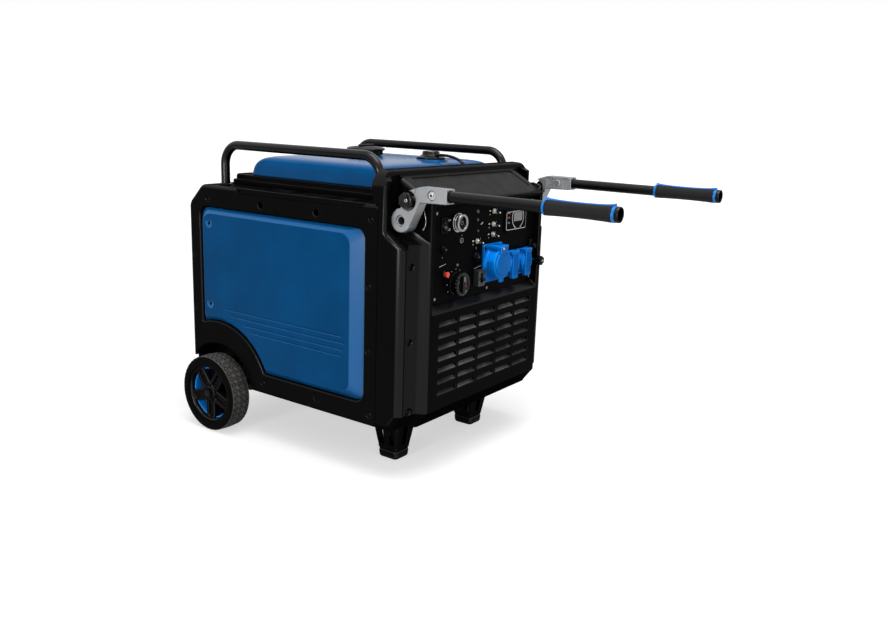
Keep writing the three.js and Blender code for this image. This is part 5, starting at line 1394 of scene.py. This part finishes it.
def stroke(path, width, at=0.0, closed=False):
    """Band of one width along a path of [x, height] on the panel, its ends cut square."""
    path = np.array([on_panel(*p) for p in path], float)
    ahead, behind = np.roll(path, -1, 0), np.roll(path, 1, 0)
    if not closed:
        ahead[-1], behind[0] = path[-1], path[0]
    run = ahead - behind
    run /= np.linalg.norm(run, axis=1)[:, None]
    side = np.column_stack([-run[:, 1], run[:, 0]]) * width / 2
    rows = [(path + side, 0.3), (path + side, -0.12), (path - side, -0.12), (path - side, 0.3)]
    return surface(np.stack([ring(flat, "Y", out(at) + y) for flat, y in rows], axis=1), closed)


def arc(x, height, radius, start, end, count=24):
    return (x, height) + radius * directions(np.radians(np.linspace(start, end, count)))


def hoop(x, height, radius, width, count, at=0.0):
    return stroke(arc(x, height, radius, 0, 360, count)[:-1], width, at, True)


def tick(x, height, angle, start, end, width, at=0.0):
    """Short stroke on the line that leaves a point at an angle."""
    return stroke([arc(x, height, radius, angle, angle)[0] for radius in (start, end)], width, at)


def line(x0, h0, x1, h1, width=0.8, at=0.0):
    return stroke([(x0, h0), (x1, h1)], width, at)


def label(text, x, height, size=5.0, at=0.0):
    """Letters centred on a point of the panel, as a thin closed solid."""
    curve = bpy.data.curves.new("label", "FONT")
    curve.body, curve.size = text, size * MM
    curve.align_x, curve.align_y = "CENTER", "CENTER"
    curve.extrude, curve.resolution_u = 0.12 * MM, 3
    holder = bpy.data.objects.new("label", curve)
    bpy.context.collection.objects.link(holder)
    evaluated = holder.evaluated_get(bpy.context.evaluated_depsgraph_get())
    mesh = bpy.data.meshes.new_from_object(evaluated)
    bpy.data.objects.remove(holder)
    place, up = on_panel(x, height)
    mesh.transform(moved(place, out(at), up) @ tilted(90))
    return link(reworked(mesh, close_seams))


def turned(profile, x, height, count=48, closed=False):
    """Lathe about the line square to the panel: profile of [radius, distance in front of it]."""
    place, up = on_panel(x, height)
    return lathe([(r, -d) for r, d in profile], "Y", (place, 0, up), count, closed, base=panel_y)


def boxy(x, height, width, tall, start, end, radius=1.5, edge=0.6):
    """Soft box on the panel, its middle at [x, height], from one distance to another."""
    place, up = on_panel(x, height)
    corners = [(place + a * width / 2, up + b * tall / 2, radius)
               for a, b in ((-1, -1), (1, -1), (1, 1), (-1, 1))]
    return soft_slab("Y", corners, out(start), out(end), edge, 4, False)


def cross_screw(x, height, radius=3.4, at=0.0, rise=1.4):
    """Round-headed screw with a cross cut in its head."""
    head = turned([(radius, at - 1), (radius, at + 0.3), (radius * 0.9, at + rise * 0.7),
                   (radius * 0.6, at + rise), (0, at + rise + 0.1)], x, height, 24)
    wide, narrow = radius * 1.1, radius * 0.28
    return carve(head, *(boxy(x, height, a, b, at + rise - 0.8, at + rise + 3, 0.1, 0.05)
                         for a, b in ((wide, narrow), (narrow, wide))))


print("marks are laid on the panel at", round(panel_y), "mm")

# %% [markdown]
# ## Panel plate
#
# The plate carries the collars and nuts that the buttons and switches stand in.

# %% Plate, collars, nuts and screws
TOGGLES = {"1": (-33, 121, "a"), "2": (30, 182, "b"), "3": (29, 153, "c"), "4": (28, 130, "d")}
LAMPS = ((-34, 186, 4.6), (-33, 167, 3.6), (-31, 143, 3.0))
ROCKER, START, KNOB, LEVER, EARTH = (-157, 166), (-107, 168), (-109, 38), (-26, 39), (197, 54)
(x0, _, z0), (x1, _, z1) = low("control_panel"), high("control_panel")
plate = boxy(0, (z1 + z0) / 2 - floor_z, x1 - x0, z1 - z0, -3, 0, 4, 0.4)
dress("panel_plate", plate, fascia_look, "casing", "panel", "control_panel")
collars = [carve(boxy(*ROCKER, 22, 32, -1, 3, 1.5, 0.9),
                 boxy(*ROCKER, 15.4, 24.4, -6, 6, 0.8, 0.1))]
for x, height, r, bore in ((-159, 116, 8, 5.2), (-34, 86, 11, 7), (-153, 63, 8.5, 5.4)):
    collars.append(turned([(bore, -1), (r + 0.6, -1), (r + 0.6, 0.8), (r, 1.6), (r, 4),
                           (r - 0.8, 5), (bore + 0.8, 5), (bore, 4.2)], x, height, 48, True))
collars += [boxy(199, 88, 22, 30, -0.5, 6, 2, 0.8),
            turned([(6.4, 5), (6.4, 12), (5.4, 13.4), (0, 13.6)], 201, 87)]
for x, height, r in LAMPS:
    collars.append(turned([(r + 1.8, -1), (r + 1.8, 0.9), (r + 1, 1.7), (r, 1.7), (r - 0.4, 0.6)],
                          x, height))
dress("panel_collars", joined(*collars), trim_look, "casing", "panel", smooth=40)

steel = [cross_screw(*spot) for spot in (
    (-183, 192.5), (-183, 13.5), (14.4, 10), (200, 11.5), (199, 196))]
steel += [turned([(3, -1), (3, 37.4), (2.4, 38)], *EARTH, 24),
          turned([(8, -1), (8, 4.2), (7, 5)], *EARTH, 6)]
dress("panel_screws", joined(*steel), ring_look, "casing", "steel", smooth=40)
nuts = []
for x, height, _ in TOGGLES.values():
    nuts += [turned([(3.4, -1), (6.6, -1), (6.6, 1.9), (6, 2.5), (3.4, 2.5)], x, height, 6, True),
             turned([(3.1, 1), (4.8, 1), (4.8, 4.4), (4.2, 5), (3.1, 5)], x, height, 32, True)]
dress("toggle_nuts", joined(*nuts), nickel_look, "casing", "nickel", smooth=40)
lenses = [turned([(r - 0.3, 0.3), (r - 0.5, 1.7), (r * 0.6, 2.7), (0, 3.1)], x, height, 32)
          for x, height, r in LAMPS]
dress("lamp_lenses", joined(*lenses), lamp_look, "casing", "display", smooth=50)
print("plate made, pieces of steel:", len(steel))

# %% [markdown]
# ## Switches and buttons
#
# Each moving piece rides on its own body, so it turns or sinks with its joint. The knob is a fluted
# ring with a dished face and a raised pointer bar.

# %% Switches and buttons
def place_of(piece, x, height, distance, degrees):
    """Turns a piece drawn about the origin by an angle about X and sets it before the panel."""
    place, up = on_panel(x, height)
    piece.data.transform(moved(place, out(distance), up) @ tilted(degrees))
    return piece


lean = [(-6.5, -10.2, 1), (-1.5, 0, 3), (-6.5, 10.2, 1), (1.5, 10.2, 0.6), (3.0, 0, 2),
        (1.5, -10.2, 0.6)]
rocker = place_of(soft_slab("X", lean, -7.5, 7.5, 0.5, 4), *ROCKER, 1, -7)
dress("rocker_switch_shape", rocker, trim_look, "rocker", "trim", "rocker_switch", smooth=30)
signs = []
for height, turn, sign in (
        (5.5, -24, line(0, -1.6, 0, 1.6, 0.7)), (-5, 24, hoop(0, 0, 1.5, 0.6, 25))):
    sign.data.transform(moved(0, -panel_y, -floor_z))
    sign.data.transform(moved(0, -4.15, height) @ tilted(turn))
    signs.append(place_of(sign, *ROCKER, 1, -7))
dress("rocker_signs", joined(*signs), white_look, "rocker")

bezel = turned([
    (21, 0.3), (21, 2), (20, 2.9), (16.4, 3.3), (15.2, 4.4), (15, 8), (16.8, 9.2), (18.4, 9.6),
    (19, 10.4), (19, 12.4), (18, 13.8), (16.8, 14), (14.2, 13.6), (13.4, 12.6), (13.1, 10),
    (13.1, 2.6)], *START, 96)
dress("start_bezel_shape", bezel, ring_look, "casing", "chrome", "start_bezel", smooth=30)
button = turned([(12.6, 7.5), (12.6, 12.6), (12.2, 13.2), (9.6, 12.2), (9, 11), (0, 10.6)],
                *START, 72)
dress("start_button_shape", button, fascia_look, "start", "trim", "start_button", smooth=30)
signs = [stroke(arc(*START, 4.2, 120, 420, 40), 1.1, 10.75),
         line(-107, 168.6, -107, 173.6, 1.1, 10.75)]
signs += [tick(*START, angle, 9.9, 11.9, 1.0, 12.9) for angle in range(96, 178, 10)]
dress("start_sign", joined(*signs), grey_print, "start")

x, height = KNOB
knob = stack("Y", [(fluted(r, d, 20, 10, 3) + on_panel(*KNOB), out(y)) for r, d, y in (
    (25.4, 0.6, 0.35), (25.4, 0.6, 3.4), (24.2, 1, 4.2), (24.6, 2.2, 5.4), (26, 2.8, 6.6),
    (26, 2.8, 17.5), (25.6, 2.4, 19.4), (24.8, 1.6, 20.6), (23.4, 0.8, 21.4), (21.8, 0.2, 21.8),
    (20.8, 0, 21.6), (20, 0, 20.4), (19, 0, 18.8), (10, 0, 18.2), (3, 0, 18))])
weld(knob, boxy(*KNOB, 8, 37, 17, 24.6, 3.6, 1.6), turned([(4, 0.5), (4, -2.4)], *KNOB, 32))
dress("engine_knob_shape", knob, knob_look, "engine_switch", "trim", "engine_knob", smooth=30)
marks = [line(x, height + 6, x, height + 17, 1.4, 24.5), label("I", x - 12, height + 4, 5, 18.6),
         label("O", x + 12, height + 4, 5, 18.6)]
dress("engine_knob_marks", joined(*marks), white_look, "engine_switch")
dot = turned([(1.3, 17.5), (1.3, 19), (0, 19.4)], x + 14, height - 6, 20)
dress("engine_knob_dot", dot, red_look, "engine_switch", "red_button")

button = turned([(4.8, 3.4), (4.8, 8.6), (5.6, 9), (6, 9.8), (6, 11.2), (5.2, 12.2), (3, 12.7),
                 (0, 12.9)], -153, 63)
dress("reset_button_shape", button, red_look, "reset", "red_button", "reset_button", smooth=40)
for index, x, height, r in ((1, -159, 116, 4.6), (2, -34, 86, 6.4)):
    node, body = f"breaker_button_{index}", f"breaker_{index}"
    button = turned([(r, 3.4), (r, 8), (r - 0.8, 8.9), (0, 9.2)], x, height)
    dress(f"{node}_shape", button, trim_look, body, "trim", node, smooth=40)
    mark = line(x - 2.6, height, x + 2.6, height, 0.7, 9.1) if index == 1 \
        else label("15", x, height, 5.5, 9.15)
    dress(f"{node}_mark", mark, grey_print, body)
for index, (x, height, body) in TOGGLES.items():
    bat = lathe([(0, 2.6), (1.6, 2.3), (2.4, 1.6), (2.9, 0.4), (2.8, -0.8), (2.1, -2), (1.5, -3.4),
                 (1.7, -7), (2.3, -12.6), (2.2, -14), (1.5, -14.9), (0, -15.2)], "Y", (0, 0, 0), 24)
    dress(f"toggle_{index}_shape", place_of(bat, x, height, 4, 12), nickel_look, f"toggle_{body}",
          "nickel", f"toggle_{index}", smooth=50)

x, height = LEVER
housing = carve(boxy(*LEVER, 26, 36, -1, 13, 2, 1), boxy(*LEVER, 9.8, 22.4, 2, 20, 1, 0.1),
                *(boxy(x, height + rise, 18, 1, 12.4, 20, 0.3, 0.1) for rise in (15, -15)))
dress("breaker_housing", housing, grey_look, "casing", "panel", smooth=30)
hub = lathe([(4.3, -4.4), (4.3, 4.4)], "X", (0, 0, 0), 32)
paddle = soft_slab("X", [(-13, -2.6, 2), (-13, 2.6, 2), (0, 3.4, 1), (0, -3.4, 1)],
                   -4.4, 4.4, 0.6, 4)
lever = place_of(weld(hub, paddle), *LEVER, 8, 20)
dress("breaker_lever_shape", lever, trim_look, "main_breaker", "trim", "breaker_lever")
print("switches made")

# %% [markdown]
# ## Sockets and their lids
#
# A large round socket and two household sockets, all in bright blue plastic. Each lid hangs on a
# hinge block above its barrel. The household lids have a ribbed strip down the middle that ends in
# a thumb tab.

# %% Sockets and lids
def round_lid(x, height, start, thick, radius, dome):
    """Disc with a rounded rim, a groove inside it and a raised round middle."""
    end = start + thick
    return turned([
        (radius - 0.8, start), (radius, start + 0.8), (radius, end - 1.6),
        (radius - 0.6, end - 0.5), (radius - 1.8, end), (dome + 2.6, end), (dome + 1.8, end - 0.9),
        (dome + 0.8, end - 0.9), (dome, end + 0.6), (dome - 1.2, end + 1.6),
        (dome * 0.6, end + 2.1), (0, end + 2.3)], x, height, 96)


def socket_body(name, x, height, wide, tall, barrel, reach, hinge, screws):
    """Flange, rounded foot, barrel with a well in it, two ears that hold the hinge pin, and pins.
    The hinge is half the lid's width, the height of the pin and the width of an ear."""
    half, rise, ear = hinge
    foot = turned([(barrel + 4, 3), (barrel + 3.4, 5.4), (barrel + 1.4, 7.6), (barrel + 0.3, 10),
                   (barrel, 13), (barrel, reach - 1), (barrel - 1, reach)], x, height, 96)
    ears = [boxy(x + side * (half + 0.4 + ear / 2), height + rise, ear, 7.6, 2, reach + 7, 1.6, 0.6)
            for side in (-1, 1)]
    body = weld(boxy(x, height, wide, tall, 0.3, 5.3, 5, 1.2), foot, *ears)
    carve(body, turned([(barrel - 4, reach - 12), (barrel - 3.4, reach + 3)], x, height, 72))
    carve(body, *(turned([(4.4, 4.2), (4.4, 9)], x + a, height + b, 24) for a, b in screws))
    dress(f"{name}_socket_shape", body, socket_look, "casing", "socket_blue", f"{name}_socket",
          smooth=32)
    head = [(3.7, 3.6), (3.7, 5.8), (3.1, 6.4), (2.2, 6.4), (2, 5.2)]
    heads = [turned(head, x + a, height + b, 24) for a, b in screws]
    pins = [turned([(2.4, reach - 13), (2.4, reach - 5), (0, reach - 4.6)], x + a, height, 16)
            for a in (-barrel * 0.35, barrel * 0.35)]
    dress(f"{name}_socket_screws", joined(*heads, *pins), black_steel_look, "casing", "steel")


x, height = 28, 67
pin_h = height + 37.2
socket_body("cee", x, height, 76, 86, 33, 26, (15, 37.2, 5),
            [(a, b) for a in (-32, 32) for b in (-34, 34)])
lid = round_lid(x, height, 26.4, 6, 34.5, 26.5)
knuckle = lathe([(3.2, -14.6), (3.2, 14.6)], "X", (0, out(29.7), floor_z + pin_h), 32, base=x)
weld(lid, boxy(x, height + 31, 29.4, 18, 26.4, 36, 3, 1.4),
     boxy(x, height - 36, 15, 12, 26.4, 31.6, 3, 1.2), knuckle,
     boxy(x, height + 37.4, 29.4, 8, 8, 33, 2, 0.8))
dress("cee_lid_shape", lid, socket_look, "cee_cover", "socket_blue", "cee_lid", smooth=32)
screw = cross_screw(x - 4, height + 34.5, 2.9, 36, 1)
dress("cee_lid_screw", screw, brass_look, "cee_cover", "nickel", smooth=40)

for index, x in ((1, 103), (2, 160)):
    name, height = f"schuko_{index}", 55
    socket_body(name, x, height, 52, 60, 21.5, 13, (12.6, 27.2, 4),
                [(-20, -22), (20, 22), (-20, 22), (20, -22)])
    lid = weld(round_lid(x, height, 13.4, 4, 24, 18),
               boxy(x, height - 1.5, 24.4, 64, 13.4, 21.5, 4, 1.8),
               boxy(x, height + 27.6, 24.4, 7.4, 12, 21, 2, 0.8))
    ribs = [boxy(x + k, height - 2, 1.5, 50, 20.6, 24, 0.6, 0.1)
            for k in (-9, -5.4, -1.8, 1.8, 5.4, 9)]
    ribs += [boxy(x + k, height, 1.3, 2 * math.sqrt(18 ** 2 - k * k) - 4, 18.9, 24, 0.5, 0.1)
             for k in (-14.6, 14.6)]
    carve(lid, *ribs)
    dress(f"{name}_lid_shape", lid, socket_look, f"{name}_cover", "socket_blue", f"{name}_lid",
          smooth=32)
print("lids hang at", round(floor_z + pin_h), "and", round(floor_z + 82))

# %% [markdown]
# ## Display, earth clamp and printed marks
#
# The display is a shallow tray with a grey-green glass, a printed frame and three small lights.
# The earth clamp is a six-lobed nut on its threaded stud.

# %% Display and marks
module = carve(boxy(124, 154, 94, 52, 0.3, 4, 6, 1), boxy(124, 154, 88, 46, 2.6, 9, 4, 0.2))
dress("display_shape", module, fascia_look, "casing", "display", "display_module", smooth=30)
glass = finish("grey_green_lcd")
lcd_look = glass.shade(
    Base_Color=glass.blend(glass.noise(60.0), (0.075, 0.08, 0.066), (0.095, 0.10, 0.083)),
    Roughness=0.18, Coat_Weight=0.4)
lcd = boxy(132.5, 162, 37, 21, 2.2, 2.9, 1.5, 0.2)
dress("display_glass", lcd, lcd_look, "casing", "display")

marks = [stroke(rectangle(83, 168, 133.5, 174.5, 5, 8), 1.6, 2.6, True)]
marks += [stroke(arc(132.5, 160, 25, start, start + 124), 1.8, 2.6) for start in (118, -62)]
marks += [hoop(132.5 + a, 138, 1.6, 1, 17, 2.6) for a in (-12, 12)]
marks += [line(87.5, h, 89.5, h, 0.7, 2.6) for h in (150, 162, 172)]
marks += [label("ON", -138, 175, 6), label("OFF", -138.5, 155, 6)]
for x, height, _ in TOGGLES.values():
    marks += [label("I", x + 14, height + 3, 5), label("O", x + 14, height - 6, 4.6),
              line(x - 17, height + 1, x - 11, height + 1, 2.6),
              line(x - 15, height - 7, x - 12, height - 7, 1.6)]
marks += [label(*text) for text in (
    ("O", -103, 76, 8), ("I", -140, 60, 6), ("1", -159, 98, 5.5), ("2", -34, 105, 5.5),
    ("1", -91, 128, 6))]
marks += [line(-19, 156, -11, 160, 2.0), hoop(-91, 128, 5.2, 0.7, 31),
          stroke(arc(201, 70, 5, -60, 150), 1.1), line(-39, 60, -13, 64), line(-170, 80, -146, 84)]
marks += [tick(*KNOB, angle, 29, 32, 0.9) for angle in range(-30, 215, 30)]
dress("panel_print", joined(*marks), white_look, "casing", smooth=20)
for text, height, tint in (("orange", 172, (0.72, 0.20, 0.04)), ("red", 162, (0.66, 0.07, 0.05)),
                           ("green", 150, (0.05, 0.42, 0.18))):
    light = boxy(93.5, height, 3, 4, 2.4, 3.4, 0.8, 0.3)
    lens_look = moulded(f"{text}_lens", tint, 0.25, 0.0, 0.5)
    dress(f"display_light_{text}", light, lens_look, "casing", "display")
light = turned([(1.7, 0), (1.7, 0.8), (0, 1.5)], -91.5, 139, 20)
dress("blue_light", light, blue_trim_look, "casing", "display")

lobes = fluted(11.2, 2.4, 6, 16)
levels = [(circle(6, 96), 18), (circle(6, 96), 22.4)] + [(lobes * k, y) for k, y in (
    (0.9, 22.8), (0.98, 23.4), (1, 24.6), (1, 35), (0.97, 36.4), (0.88, 37))]
knob = stack("Y", [(outline + on_panel(*EARTH), out(y)) for outline, y in levels])
carve(knob, turned([(3.25, 10), (3.25, 50)], *EARTH, 32))
dress("earth_knob_shape", knob, trim_look, "earth_clamp", "trim", "earth_knob")
print("marks on the panel:", len(marks))

# %% [markdown]
# ## Sizes at the end
#
# The sizes of the imported model and of the dressed model are written side by side.

# %% Finish
lists = [[list(map(float, corner)) for corner in box] for box in (cad_bounds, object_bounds())]
print("cad box", lists[0], "visual box", lists[1])
